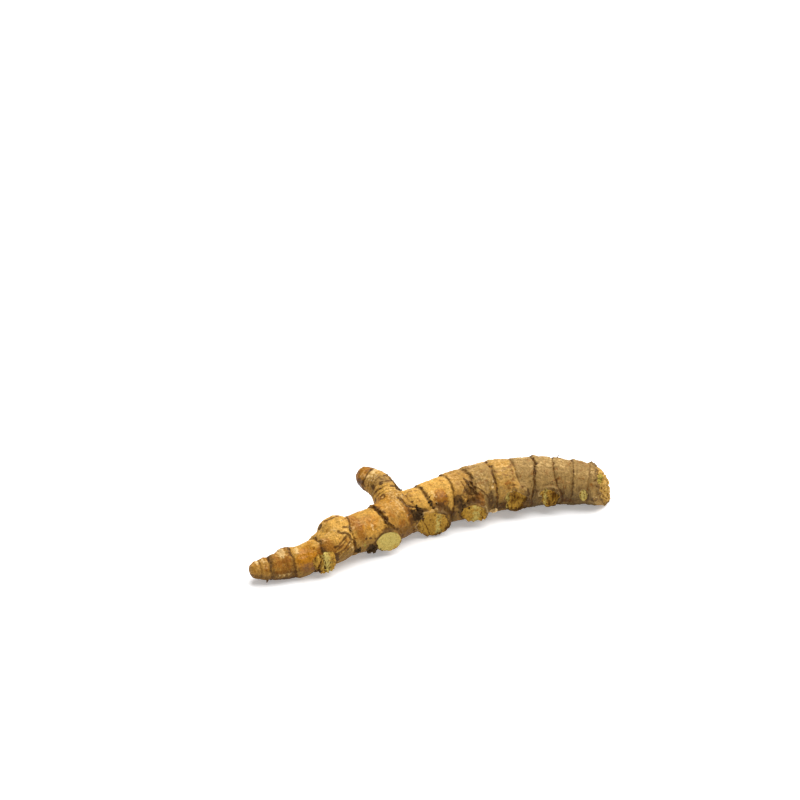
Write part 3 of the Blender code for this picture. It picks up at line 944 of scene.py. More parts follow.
@dataclass
class Rhizome:
    """The whole root as one fine skin: its leaf scars, pits, cut faces and broken end.

    A field with rounds in its name says how often values are averaged with those of their
    neighbours, and one with patch in its name is the height of the relief in such a mark.
    """

    voxel: float = 0.345
    softening: int = 8
    fill_rounds: int = 130
    fill_core: float = 0.65
    seam_out: float = 0.8
    seam_radius: float = 1.6
    tone_rounds: int = 10
    crease_rounds: int = 2
    hollow_rounds: int = 60
    swell: float = 0.26
    swell_size: float = 5.0
    wrinkle: float = 0.13
    grain_height: float = 0.17
    wrinkle_patch: float = 0.35
    fold_patch: float = 0.4
    soil_patch: float = 0.2
    swell_patch: float = 0.9
    ring_reach: float = 5.0
    ring_edge: float = 0.6
    ring_fade: float = 0.9
    ring_groove: float = 0.45
    ring_lip: float = 0.7
    end_room: float = 4.0
    crease_reach: float = 3.0
    stub_reach: float = 1.7
    stub_depth: float = 0.6
    cut_dome: float = 0.1
    cut_level: float = 1.8
    break_start: float = 130.0
    break_depth: float = 2.5
    break_place: float = 139.4
    break_lean: float = 0.35
    break_front_lean: float = 0.2
    break_corner: float = 3.4
    break_corner_turn: float = 122.0
    rootlet: tuple[Point, ...] = ((23.9, -0.3, 3.1), (24.3, -2.0, 4.4), (24.9, -2.8, 6.3))
    rootlet_radius: float = 1.3
    known_pits: tuple[tuple[Stem, float, float, float], ...] = (
        (SPINE, 136.4, -12.0, 0.9),
        (FINGER, 5.1, 125.0, 1.0),
        (SPINE, 99.0, -22.0, 0.6),
    )
    pit_count: int = 34
    pit_places: Span = (14.0, 136.0)
    pit_radius: Span = (0.45, 0.85)
    pit_rim: float = 0.14
    pit_depth: float = 0.3
    low_share: float = 0.7
    low_turns: Span = (-170.0, -40.0)
    back_turns: Span = (160.0, 200.0)
    seed: int = 11

    def build(self) -> bpy.types.Object:
        """Builds the skin, gives it its relief and its finish, and puts it in the solid's place.

        Returns:
            The finished piece.
        """
        mesh = self.fine_copy()
        self.fill_seams(mesh)
        skin = self.survey(mesh)
        self.mark_stems(skin)
        self.mark_stubs(skin)
        self.mark_break(skin)
        self.mark_pits(skin)
        self.mark_rootlet(skin)
        self.raise_skin(skin)
        self.write(skin, mesh)
        mesh.materials.clear()
        mesh.materials.append(SkinFinish().recipe())
        piece = add_object("root_skin", mesh)
        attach(piece, BODY)
        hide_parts(NODE)
        return piece

    def fine_copy(self) -> bpy.types.Mesh:
        """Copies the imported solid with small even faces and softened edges.

        Returns:
            The copy.
        """
        draft = add_object("draft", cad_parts[NODE].data.copy())
        remesh = draft.modifiers.new("even faces", "REMESH")
        remesh.mode = "VOXEL"
        remesh.voxel_size = self.voxel * MM
        remesh.use_smooth_shade = True
        soften = draft.modifiers.new("soft edges", "SMOOTH")
        soften.factor = 0.5
        soften.iterations = self.softening
        graph = bpy.context.evaluated_depsgraph_get()
        mesh = bpy.data.meshes.new_from_object(draft.evaluated_get(graph))
        mesh.name = "root_skin"
        bpy.data.objects.remove(draft, do_unlink=True)
        return mesh

    def survey(self, mesh: bpy.types.Mesh) -> Skin:
        """Reads a mesh into a bare skin.

        Args:
            mesh: the mesh.

        Returns:
            Its points, normals and edges, without any marks.
        """
        edges = np.empty(len(mesh.edges) * 2, int)
        mesh.edges.foreach_get("vertices", edges)
        return Skin(vectors_of(mesh, "co") / MM, vectors_of(mesh, "normal"), edges.reshape(-1, 2))

    def fill_seams(self, mesh: bpy.types.Mesh) -> None:
        """Fills the sharp valleys round the buds, stubs and finger, so that they flow into the body.

        Args:
            mesh: the fine copy, which is changed.
        """
        skin = self.survey(mesh)
        stubs = [Seam(s.place, s.turn, self.seam_out * s.reach, self.seam_radius * s.radius) for s in STUBS]
        share = np.zeros(len(skin.points))
        for seam in (*SEAMS, *stubs):
            middle, outward = SPINE.spoke(seam.place, seam.turn)
            away = np.linalg.norm(skin.points - (middle + seam.out * outward), axis=1)
            share = np.maximum(share, ease(away, seam.radius, self.fill_core * seam.radius))
        share *= ease(self.from_rootlet(skin.points), self.rootlet_radius, 2.0 * self.rootlet_radius)
        for _ in range(self.fill_rounds):
            skin.points += skin.normals * (np.maximum(skin.hollow(1), 0.0) * share)[:, None]
        move_points(mesh, skin.points)
        mesh.update()

    def mark_stems(self, skin: Skin) -> None:
        """Marks the rings, tones and stains of the body and of the finger, each on its own part, with
        painted shade on the lower side and a painted highlight along the top.

        Args:
            skin: the skin to mark.
        """
        place, _, finger_out = FINGER.locate(skin.points)
        near = ease(finger_out - FINGER.radius(place), 2.0, 0.8)
        finger = near * ease(place, 5.5, 7.0)
        self.mark_stem(skin, SPINE, SPINE_RINGS, SPINE_TONES, (SPINE_MARKS, SPINE_CREASES), 1.0 - finger)
        self.mark_stem(skin, FINGER, FINGER_RINGS, FINGER_TONES, (FINGER_MARKS, FINGER_CREASES), finger)

    def mark_stem(
        self,
        skin: Skin,
        stem: Stem,
        rings: Sequence[Ring],
        tones: Sequence[Tone],
        details: tuple[Sequence[Mark], Sequence[Crease]],
        share: Array,
    ) -> None:
        """Marks everything that follows one stem.

        Args:
            skin: the skin to mark.
            stem: the stem.
            rings: its rings from the tip on.
            tones: the tone before each ring and behind the last.
            details: the patches and the creases on it.
            share: how much each point belongs to it, from 0 to 1.
        """
        place, turn, _ = stem.locate(skin.points)
        mine = share > 0.5
        stops = [-self.end_room, *(ring.place for ring in rings), stem.length + self.end_room]
        lines = [np.full(len(place), stops[0])]
        height, stain = np.zeros(len(place)), np.zeros(len(place))
        nearest = np.full(len(place), skin.FAR)
        for number, ring in enumerate(rings):
            line = np.maximum(ring_line(ring, turn), lines[-1] + skin.LEAST_GAP)
            lines.append(line)
            near = np.abs(place - line) < self.ring_reach
            gap = place - line
            gap[near] -= ring_wander(stem, ring, number, place[near], turn[near])
            height[near] += self.ring_height(ring, gap[near], waver(skin.points[near], 0.9, 3, 40 + number))
            closer = mine & (np.abs(gap) < np.abs(nearest))
            nearest = np.where(closer, gap, nearest)
            skin.lay("scar_dark", closer, ring.line)
            skin.lay("scar_width", closer, ring.width)
            stain += ring.ahead * ease(-gap, ring.spread, 0.0) * (gap < 0)
            stain += ring.behind * ease(gap, ring.spread, 0.0) * (gap >= 0)
        lines.append(np.full(len(place), stops[-1]))
        skin.lay("scar_gap", mine, nearest)
        skin.add("stain", share * stain)
        skin.height += share * height
        between = sum((place > line).astype(int) for line in lines[1:-1])
        for name in ("honey", "amber", "ash", "plum"):
            values = np.array([getattr(tone, name) for tone in tones])[between]
            skin.add(name, share * skin.soften(values, self.tone_rounds))
        near, far = np.choose(between, lines[:-1]), np.choose(between, lines[1:])
        along = np.array(stops)[between] + (place - near) / (far - near) * np.diff(stops)[between]
        grain = np.column_stack([along, stem.circle(place, turn)])
        skin.numbers["grain"] = np.where(mine[:, None], grain, skin.numbers.get("grain", grain))
        # Painted shade: the lower front and the underside are darkened in the colour.
        skin.add("wear_and_low_shade", share * ease(turn, 46.0, -16.0) * ease(np.abs(turn), 178.0, 140.0))
        # Painted highlight: the upper side is made paler.
        skin.add("painted_top_light", share * ease(turn, 34.0, 74.0) * ease(turn, 160.0, 120.0))
        patches, creases = details
        for patch in patches:
            skin.add(patch.stain.value, share * patch.share(stem, place, turn))
        for number, crease in enumerate(creases):
            self.mark_crease(skin, stem, crease, number, share, place, turn)

    def mark_crease(
        self, skin: Skin, stem: Stem, crease: Crease, number: int, share: Array, place: Array, turn: Array
    ) -> None:
        """Marks one crease.

        Args:
            skin: the skin to mark.
            stem: the stem that it is on.
            crease: the crease.
            number: its number, which picks the draw of its wander.
            share: how much each point belongs to the stem.
            place: how far along the stem each point is.
            turn: the turn of each point.
        """
        near = crease.gap(stem, place, turn)[0] < self.crease_reach
        sway = waver(skin.points[near], 2.0, 3, 60 + number)
        gap, left = crease.gap(stem, place[near] + 0.5 * sway, turn[near] + 3.0 * sway)
        gap, share = gap + 0.2 * np.abs(sway), share[near]
        groove = hump(gap, 0.0, 1.3 * crease.width)
        skin.height[near] += share * (crease.step * left * np.exp(-gap / 0.8) - crease.depth * groove)
        dark = share * crease.dark * ease(gap, 2.0 * crease.width, 0.6 * crease.width)
        skin.add("crack", 0.0)
        skin.numbers["crack"][near] = np.maximum(skin.numbers["crack"][near], dark)

    def ring_height(self, ring: Ring, gap: Array, ragged: Array) -> Array:
        """The relief of one ring.

        Args:
            ring: the ring.
            gap: how far each point is behind the ring's line.
            ragged: random heights round the ring.

        Returns:
            The height to add at each point.
        """
        behind = gap if ring.rise >= 0 else -gap
        rise = abs(ring.rise)
        fade = np.exp(-np.maximum(behind, 0.0) / self.ring_fade)
        edge = self.ring_edge * rise * fade * ease(behind, -0.15, 0.25)
        groove = self.ring_groove * rise * hump(behind, -0.2, 0.34)
        lip = self.ring_lip * ring.ragged * np.maximum(ragged + 0.1, 0.0) * hump(behind, 0.35, 0.3)
        return edge - groove + lip

    def mark_stubs(self, skin: Skin) -> None:
        """Marks the cut faces of the side shoots, their rims and the gaps round their bases, with painted
        shade in the gaps and on one side of the rims.

        Args:
            skin: the skin to mark.
        """
        skin.numbers["cut_radius"] = np.full(len(skin.points), skin.FAR)
        for name in ("cut_pale", "cut_torn", "cut_rim_and_shade", "cut_lip_highlight"):
            skin.add(name, 0.0)
        for number, stub in enumerate(STUBS):
            middle, outward = SPINE.spoke(stub.place, stub.turn)
            along = SPINE.read(SPINE.along, np.array([stub.place]))[0]
            lean = math.radians(stub.lean)
            axis = unit(math.cos(lean) * outward - math.sin(lean) * along)
            across = unit(along - axis * (along @ axis))
            arm = skin.points - middle
            side = arm @ across / stub.radius
            rise = arm @ np.cross(axis, across) / stub.radius
            pitch, yaw = math.tan(math.radians(stub.pitch)), math.tan(math.radians(stub.yaw))
            face = stub.reach + stub.radius * (pitch * rise + yaw * side)
            share = np.hypot(side, rise / stub.tall)
            depth = face - arm @ axis - self.cut_dome * stub.radius * np.maximum(1 - share**2, 0.0)
            near = (share < self.stub_reach) & (np.abs(depth) < self.stub_depth * stub.reach)
            facing = ease(skin.normals @ axis, 0.4, 0.8) * ease(share, 1.05, 0.95) * near
            skin.height += np.clip(depth, -self.cut_level, 0.6 * self.cut_level) * facing
            self.mark_stub(skin, stub, number, near, side[near], rise[near], depth[near])

    def mark_stub(
        self, skin: Skin, stub: Stub, number: int, near: Array, side: Array, rise: Array, depth: Array
    ) -> None:
        """Marks one stub on the points near it.

        Args:
            skin: the skin to mark.
            stub: the stub.
            number: its number, which picks the draw.
            near: which points are near the stub.
            side: how far towards the break each of them is from the stub's middle, in radii.
            rise: how far up each is, in radii.
            depth: how far below the cut each is, in millimetres.
        """
        look = stub.cut.value
        local = np.column_stack([side, rise, np.full(len(side), 3.0 * number)]) * stub.radius
        ragged, fibres = waver(local, 1.4, 4, 3), waver(local * (1.0, 0.35, 1.0), 0.7, 3, 5)
        share = np.hypot(side, rise / stub.tall)
        flesh = np.hypot(side, rise / stub.tall + stub.drop) / stub.open + 0.25 * look.torn * ragged
        flesh += 0.6 * look.torn**2 * waver(local, 3.2, 2, 9)
        # Painted shade falls on the side of the stub that its shade names.
        toward_shade = 0.5 + 0.5 * np.cos(np.arctan2(rise, side) - math.radians(stub.shade))
        on_top = ease(np.abs(depth), 1.5, 0.8)
        inside = ease(flesh, 1.04, 0.9) * on_top
        dish = np.maximum(1 - flesh**2, 0.0)
        hole = hump(np.hypot(side - stub.hole[0], rise - stub.hole[1]), 0.0, 0.3) * on_top
        height = inside * ((0.08 + 0.6 * look.torn) * ragged + 0.75 * look.torn * fibres)
        height -= inside * look.recess * (0.6 + 0.6 * dish) + 0.3 * stub.radius * hole
        rim = hump(flesh, 1.06, 0.1) * on_top * look.rim
        height += rim * (0.7 + 0.8 * ragged)
        gap = ease(depth, 0.2, 1.0) * hump(share, 1.13, 0.11) * look.gap * (0.35 + 0.9 * toward_shade)
        height -= gap * (1.0 + 0.8 * ragged)
        skin.height[near] += height
        # Painted shade on the skin collar round the stub, on its shade side.
        collar_shade = ease(share, 1.35, 1.08) * ease(share, 0.9, 1.0) * toward_shade
        band = hump(side + 0.25 * ragged, stub.pale_side, stub.pale_width)
        numbers = {
            "cut_radius": flesh + 0.8 * ease(depth, 1.5, 2.4),
            "cut_pale": look.pale + (1.0 - look.pale) * 0.8 * band,
            # Torn flesh, with painted shade darkening the hole.
            "cut_torn": look.torn + 1.2 * hole,
            # A dark rim that painted shade deepens on the shade side, and a painted highlight on the rim's
            # other side.
            "cut_rim_and_shade": 0.15 + 0.85 * toward_shade,
            "cut_lip_highlight": look.rim * (1.0 - toward_shade),
            "scar_dark": skin.numbers["scar_dark"][near] * ease(share, 1.1, 1.3),
            # Painted shade: the gap and the collar are darkened towards umber.
            "umber": skin.numbers["umber"][near] + 1.3 * gap + 0.4 * collar_shade,
            "crack": skin.numbers["crack"][near] * ease(share, 0.95, 1.1),
            "wear_and_low_shade": skin.numbers["wear_and_low_shade"][near] * (1.0 - inside),
        }
        for name, values in numbers.items():
            skin.numbers[name][near] = values

    def mark_break(self, skin: Skin) -> None:
        """Marks the rough face where the root was broken off.

        Args:
            skin: the skin to mark.
        """
        place, turn, out = SPINE.locate(skin.points)
        radius = float(SPINE.radius(self.break_place))
        share = out / radius
        front, up = np.cos(np.radians(turn)), np.sin(np.radians(turn))
        lean = self.break_lean * up + self.break_front_lean * np.maximum(front, 0.0)
        corner = self.break_corner * bend_share(turn, self.break_corner_turn)
        depth = self.break_place - share * radius * lean - share**3 * corner - place
        near = (place > self.break_start) & (depth < self.break_depth)
        face = ease(depth, 1.2, 0.5)
        height = face * (0.6 * waver(skin.points, 1.5, 5, 8) + 0.5 * waver(skin.points, 0.7, 3, 9))
        skin.height += np.where(near, height, 0.0)
        edge = 0.4 * waver(skin.points, 2.2, 3, 10)
        inward = 0.2 + 0.9 * np.minimum(share + 0.5 * edge, 1.0)
        skin.lay("cut_radius", near, inward + 0.8 * ease(depth + edge, 0.0, 1.0))
        for name, value in {"cut_pale": 0.2, "cut_torn": 0.8, "cut_rim_and_shade": 0.6, "wear_and_low_shade": 0.0}.items():
            skin.lay(name, near, value)
        skin.lay("scar_dark", near & (depth < 1.0), 0.0)
        skin.add("broken", np.where(near, face, 0.0))

    def mark_pits(self, skin: Skin) -> None:
        """Marks the small scars of rootlets, most of them low on the root and behind it.

        Args:
            skin: the skin to mark.
        """
        draw = np.random.default_rng(self.seed)
        pits = list(self.known_pits)
        for _ in range(self.pit_count):
            turn = hidden_turn(draw, self.low_share, self.low_turns, self.back_turns)
            pits.append((SPINE, draw.uniform(*self.pit_places), turn, draw.uniform(*self.pit_radius)))
        nearest = np.full(len(skin.points), skin.FAR)
        for stem, place, turn, radius in pits:
            middle, outward = stem.spoke(place, turn)
            centre = middle + stem.radius(place) * outward
            share = np.linalg.norm(skin.points - centre, axis=1) / radius
            skin.height += self.pit_rim * hump(share, 1.0, 0.3) - self.pit_depth * ease(share, 0.9, 0.2)
            nearest = np.minimum(nearest, share)
        skin.numbers["pit"] = nearest

    def from_rootlet(self, points: Array) -> Array:
        """Measures how far points are from the broken rootlet between two stubs.

        Args:
            points: the points in millimetres.

        Returns:
            The distance of each from the rootlet's middle line.
        """
        away = np.full(len(points), np.inf)
        knots = np.array(self.rootlet) - FOOTPRINT_MIDDLE
        for start, end in zip(knots, knots[1:]):
            for share in np.linspace(0.0, 1.0, 5):
                away = np.minimum(away, np.linalg.norm(points - start - share * (end - start), axis=1))
        return away

    def mark_rootlet(self, skin: Skin) -> None:
        """Marks the broken rootlet as bare and pale.

        Args:
            skin: the skin to mark.
        """
        bare = ease(self.from_rootlet(skin.points), self.rootlet_radius, 0.75 * self.rootlet_radius)
        skin.add("pale", 1.6 * bare)
        for name in ("umber", "soil", "stain", "crack", "wear_and_low_shade", "scar_dark"):
            skin.numbers[name] *= 1.0 - bare
        skin.add("soil", -2.5 * bare)

    def raise_skin(self, skin: Skin) -> None:
        """Adds the swells, wrinkles and grain, and moves the points by all the relief.

        Args:
            skin: the skin, with all its marks.
        """
        body = ease(skin.numbers["cut_radius"], 0.95, 1.1)
        grain, ash = skin.numbers["grain"], skin.numbers["ash"]
        height = self.swell * waver(skin.points, self.swell_size, 2, 1)
        height += self.wrinkle * waver(grain * (0.18, 1.0, 1.0), 1.5, 3, 2)
        height += self.wrinkle * waver(grain * (1.0, 0.15, 0.15), 1.1, 3, 3)
        height += self.grain_height * (0.5 + 0.7 * ash) * waver(skin.points, 1.2, 3, 4)
        creases = 1.0 - 2.2 * np.abs(waver(grain * (0.3, 1.0, 1.0), 1.6, 2, 6))
        height += self.wrinkle_patch * skin.numbers["wrinkle"] * (creases - 0.5)
        folds = 1.0 - 2.2 * np.abs(waver(grain * (1.0, 0.3, 0.3), 1.3, 2, 7))
        height += self.fold_patch * skin.numbers["fold"] * (folds - 0.4)
        soil = self.soil_patch * skin.numbers["soil"] * waver(skin.points, 0.8, 3, 12)
        height += soil + self.swell_patch * skin.numbers["swell"]
        skin.height += body * height
        skin.points = skin.points + skin.normals * skin.height[:, None]
        skin.points[:, 2] = np.maximum(skin.points[:, 2], 0.0)
        # Cavity depths: the finish paints shade into the fine grooves and the hollows with these.
        skin.add("crease", skin.hollow(self.crease_rounds))
        skin.add("hollow", skin.hollow(self.hollow_rounds))

    def write(self, skin: Skin, mesh: bpy.types.Mesh) -> None:
        """Writes the moved points and the numbers of the finish to the mesh.

        Args:
            skin: the skin that is written.
            mesh: the mesh that takes it.
        """
        move_points(mesh, skin.points)
        for name, values in skin.numbers.items():
            kind, key = ("FLOAT_VECTOR", "vector") if values.ndim == 2 else ("FLOAT", "value")
            held = mesh.attributes.new(name, kind, "POINT")
            held.data.foreach_set(key, values.astype(np.float32).ravel())
        mesh.shade_smooth()
        mesh.update()


@dataclass(frozen=True)
class Weave:
    """The noises of the skin: patches, mottle, specks and sand, coarse to fine, and two streaks."""

    patches: Value
    mottle: Value
    specks: Value
    sand: Value
    lengthwise: Value
    crosswise: Value


@dataclass(frozen=True)
class SkinFinish:
    """The root's skin: satin tan, golden or greyish, with dark scars, soil and cut flesh, painted shade low
    down and in grooves, hollows and gaps, and painted highlights along the top and on cut rims.
    """

    tan: Colour = (0.39, 0.19, 0.030)
    honey: Colour = (0.58, 0.31, 0.055)
    amber: Colour = (0.43, 0.165, 0.001)
    ash: Colour = (0.31, 0.185, 0.056)
    plum: Colour = (0.12, 0.042, 0.009)
    rust: Colour = (0.26, 0.088, 0.003)
    umber: Colour = (0.060, 0.024, 0.004)
    line: Colour = (0.058, 0.023, 0.004)
    soil: Colour = (0.026, 0.012, 0.003)
    cream: Colour = (0.76, 0.52, 0.22)
    leaf: Colour = (0.30, 0.25, 0.03)
    flesh: Colour = (0.54, 0.41, 0.105)
    ochre: Colour = (0.455, 0.245, 0.032)
    bark: Colour = (0.12, 0.046, 0.004)
    broken: Colour = (0.52, 0.31, 0.080)
    roughness: float = 0.58
    gloss: float = 0.12
    coat: float = 0.3
    coat_roughness: float = 0.3

    def recipe(self) -> bpy.types.Material:
        """Makes the material.

        Returns:
            The material.
        """
        r = Recipe("turmeric skin")
        where, grain = r.place(), r.vector("grain")
        weave = Weave(
            patches=r.clouds(where, 5.0, 3, 0.8),
            mottle=r.clouds(where, 1.9, 4, 0.5),
            specks=r.clouds(where, 0.9, 3),
            sand=r.clouds(where, 0.4, 2),
            lengthwise=r.clouds(r.stretch(grain, (0.2, 1.0, 1.0)), 1.3, 3),
            crosswise=r.clouds(r.stretch(grain, (1.0, 0.14, 0.14)), 0.7, 3),
        )
        colour, soil_and_hollow_shade = self.scars(r, self.skin(r, weave), weave)
        colour, cut = self.flesh_over(r, colour, where, weave)
        amber = r.number("amber")
        roughness = self.roughness + 0.06 * weave.sand + 0.2 * soil_and_hollow_shade + 0.1 * cut - 0.12 * amber
        height = 0.05 * (weave.sand + weave.crosswise + weave.lengthwise) + 0.1 * weave.specks
        coat = amber.step(0.3, 1.0) * (1.0 - cut) * (1.0 - soil_and_hollow_shade.step(0.1, 0.6)) * self.coat
        gloss = {"Coat Roughness": self.coat_roughness, "Specular IOR Level": self.gloss}
        return r.finish(colour, roughness, height, {"Coat Weight": coat, **gloss})

    def skin(self, r: Recipe, w: Weave) -> Value:
        """The colour of the bare skin, with a painted highlight along the top and painted shade low down.

        Args:
            r: the recipe.
            w: its noises.

        Returns:
            The colour.
        """
        uneven = 0.25 * w.patches + 0.25 * w.mottle
        colour = r.mix((r.number("honey") + uneven).step(0.1, 0.85), self.tan, self.honey)
        colour = r.mix((r.number("ash") + uneven).step(0.1, 0.8), colour, self.ash)
        colour = r.mix((r.number("amber") + uneven).step(0.15, 0.85), colour, self.amber)
        plum = (r.number("plum") + uneven + 0.25 * w.lengthwise).step(0.05, 0.75)
        colour = r.mix(plum, colour, self.plum)
        rusty = (0.5 * w.mottle + 0.45 * w.patches + 0.35 * w.lengthwise).step(0.1, 0.9)
        colour = r.mix(rusty * 0.5, colour, self.rust)
        rust = (r.number("rust") * 0.9 + 0.45 * w.mottle + 0.2 * w.lengthwise).step(0.2, 0.9)
        colour = r.mix(rust * 0.8, colour, self.rust)
        # Pale streaks and flecks, and a painted highlight along the top.
        light = 0.5 * w.lengthwise + 0.5 * w.specks - 0.3 * w.patches + 0.3 * r.number("painted_top_light")
        colour = r.mix(light.step(0.3, 1.1) * 0.4, colour, self.cream)
        # Painted shade: the skin is made darker low on the root.
        low = (r.number("wear_and_low_shade") + 0.35 * w.mottle + 0.2 * w.patches).step(0.1, 1.1)
        streaks = 0.12 * (w.crosswise + w.lengthwise)
        bright = 1.0 + 0.28 * w.specks + 0.18 * w.mottle + 0.2 * w.sand + streaks
        return r.shaded(colour, bright * (1.0 - 0.6 * low))

    def scars(self, r: Recipe, colour: Value, w: Weave) -> tuple[Value, Value]:
        """Lays the scars, stains and soil over the skin, with painted shade in the grooves and hollows.

        Args:
            r: the recipe.
            colour: the colour of the skin.
            w: its noises.

        Returns:
            The colour, and how much soil and painted hollow shade cover it.
        """
        blotch = 0.45 * w.mottle + 0.35 * w.specks
        stained = r.number("stain") + 0.3 * w.patches + 0.35 * w.specks + 0.2 * w.lengthwise
        colour = r.mix(stained.step(0.2, 1.0) * 0.85, colour, self.umber)
        flecks = (w.specks + 0.6 * w.mottle + 0.25 * w.patches).step(0.6, 1.05)
        colour = r.mix(flecks * 0.6, colour, self.umber)
        umber = (r.number("umber") + blotch).step(0.3, 0.95)
        colour = r.mix(umber * 0.85, colour, self.umber)
        colour = r.mix((r.number("pale") + 0.4 * w.specks).step(0.25, 0.9) * 0.85, colour, self.cream)
        colour = r.mix((r.number("green") + 0.35 * w.mottle).step(0.3, 0.9) * 0.8, colour, self.leaf)
        gap = abs(r.number("scar_gap") + 0.16 * w.specks + 0.1 * w.sand)
        width = r.number("scar_width") * (1.0 + 1.1 * w.mottle) + 0.04
        scar = (gap / width).step(1.5, 0.15) * r.number("scar_dark") * (0.85 + 0.9 * w.mottle)
        colour = r.mix(scar, colour, self.line)
        crack = (r.number("crack") + 0.25 * w.specks + 0.2 * w.mottle).step(0.25, 0.9)
        colour = r.mix(crack * 0.75, colour, self.line)
        # Painted shade: the fine grooves are darkened towards rust.
        crease = (r.number("crease") * 10.0 + 0.15 * w.mottle).step(0.1, 1.1)
        colour = r.mix(crease * 0.55, colour, self.rust)
        pit = r.number("pit")
        colour = r.mix(abs(pit - 1.0).step(0.45, 0.1) * 0.7, colour, self.umber)
        colour = r.mix(pit.step(0.6, 0.3) * 0.5, colour, self.cream)
        # Soil marks, and painted shade in the hollows, laid on as one dark soil brown.
        soil_and_hollow_shade = (r.number("soil") + 1.1 * r.number("hollow") + blotch).step(0.45, 1.05)
        soil = r.shaded(r.mix(w.specks.step(0.4, 1.2), self.soil, self.plum), 1.0 + 0.3 * w.specks)
        return r.mix(soil_and_hollow_shade * 0.92, colour, soil), soil_and_hollow_shade

    def flesh_over(self, r: Recipe, skin: Value, where: Value, w: Weave) -> tuple[Value, Value]:
        """Lays the flesh of the cut faces over the skin, with painted shade in its grooves and on the
        shaded side of its rim, and a painted highlight on the rim's other side.

        Args:
            r: the recipe.
            skin: the skin's colour.
            where: the point's place.
            w: the recipe's noises.

        Returns:
            The colour, and how much flesh shows.
        """
        torn, pale, broken = r.number("cut_torn"), r.number("cut_pale"), r.number("broken")
        radius = r.number("cut_radius") + w.mottle * (0.04 + 0.2 * torn) + 0.04 * w.specks
        cut = radius.step(1.0, 0.94)
        rim = abs(radius - 1.03).step(0.16, 0.03)
        blotch = r.clouds(where, 2.4, 3, 0.8)
        flesh = r.mix((pale + 0.3 * blotch + 0.3 * w.specks).step(0.3, 0.85), self.ochre, self.flesh)
        flesh = r.mix(broken * (0.6 + 0.6 * w.specks).step(0.0, 1.0), flesh, self.broken)
        wear_and_low_shade = (torn * 0.5 + 0.5 * w.mottle + 0.35 * w.specks + 0.25 * blotch).step(0.35, 1.05)
        flesh = r.mix(wear_and_low_shade * 0.85, flesh, self.bark)
        green = (r.number("green") + 0.3 * w.mottle).step(0.3, 0.9)
        flesh = r.mix(green * 0.7, flesh, self.leaf)
        ring = abs(radius - 0.72).step(0.07, 0.0) * (1.0 - torn)
        flesh = r.mix(ring * 0.25, flesh, self.ochre)
        # Painted shade: grooves in the cut flesh are darkened towards bark.
        deep = (r.number("crease") * 11.0).step(0.1, 1.0)
        flesh = r.mix(deep * 0.75, flesh, self.bark)
        flesh = r.shaded(flesh, 1.0 + 0.2 * w.sand + (0.12 + 0.35 * torn) * w.specks)
        colour = r.mix(cut, skin, flesh)
        # Painted shade: a dark line round each cut, strongest on its shade side.
        edge = r.number("cut_rim_and_shade")
        # Painted highlight: a pale lip on the rim's side away from the shade.
        lip = abs(radius - 1.1).step(0.08, 0.02) * r.number("cut_lip_highlight")
        colour = r.mix(lip, colour, self.cream)
        return r.mix(rim * edge * 0.85, colour, self.umber), cut


# What clings to the root


@dataclass
class Surface:
    """The finished skin, for finding where things stand on it."""

    REACH = 9.0
    STAND = 1.6

    piece: bpy.types.Object

    def __post_init__(self) -> None:
        """Makes a search tree of the skin."""
        faces = [tuple(face.vertices) for face in self.piece.data.polygons]
        self.tree = BVHTree.FromPolygons((vectors_of(self.piece.data, "co") / MM).tolist(), faces)

    def at(self, stem: Stem, place: float, turn: float) -> tuple[Vector, Vector] | None:
        """The point of the skin at a place and a turn, and the direction it faces.

        Args:
            stem: the stem.
            place: how far along it.
            turn: the turn round it.

        Returns:
            The point and its normal, or nothing where something else stands there.
        """
        middle, outward = (Vector(row) for row in stem.spoke(place, turn))
        radius = float(stem.radius(place))
        point, normal, _, _ = self.tree.ray_cast(middle + outward * (radius + self.REACH), -outward)
        if point is None or (point - middle).length > radius + self.STAND:
            return None
        return point, normal


def above_table(point: Vector, least: float) -> Vector:
    """The point in metres, raised to this many millimetres above the table if it is lower."""
    return Vector((point.x, point.y, max(point.z, least))) * MM


def join_loops(mesh: bmesh.types.BMesh, loops: Sequence[list[bmesh.types.BMVert]]) -> None:
    """Joins loops of equally many vertices into a closed tube.

    Args:
        mesh: the mesh that they are in.
        loops: the loops from one end to the other.
    """
    for one, other in zip(loops, loops[1:]):
        for i in range(len(one)):
            j = (i + 1) % len(one)
            mesh.faces.new((one[i], one[j], other[j], other[i]))
    mesh.faces.new(loops[0][::-1])
    mesh.faces.new(loops[-1])


@dataclass(frozen=True)
class Strip:
    """A torn strip of a scale leaf along points of a place and a turn, and its greatest height."""

    path: tuple[tuple[float, float], ...]
    height: float


@dataclass(frozen=True)
class PaperFinish:
    """Dry papery scale remains: dark brown, paler and torn at the edge."""

    dark: Colour = (0.085, 0.036, 0.009)
    brown: Colour = (0.23, 0.110, 0.025)
    edge: Colour = (0.46, 0.28, 0.11)

    def recipe(self) -> bpy.types.Material:
        """Makes the material.

        Returns:
            The material.
        """
        r = Recipe("scale paper")
        mottle, specks = r.clouds(r.place(), 1.6, 3), r.clouds(r.place(), 0.6, 2)
        colour = r.mix((0.5 + 0.8 * mottle).step(0.2, 1.0), self.dark, self.brown)
        edge = (r.number("edge") + 0.5 * specks + 0.3 * mottle).step(0.75, 1.3)
        colour = r.shaded(r.mix(edge * 0.7, colour, self.edge), 1.0 + 0.2 * specks)
        height = 0.05 * specks + 0.04 * mottle
        return r.finish(colour, 0.75 + 0.1 * specks, height, {"Specular IOR Level": 0.2})


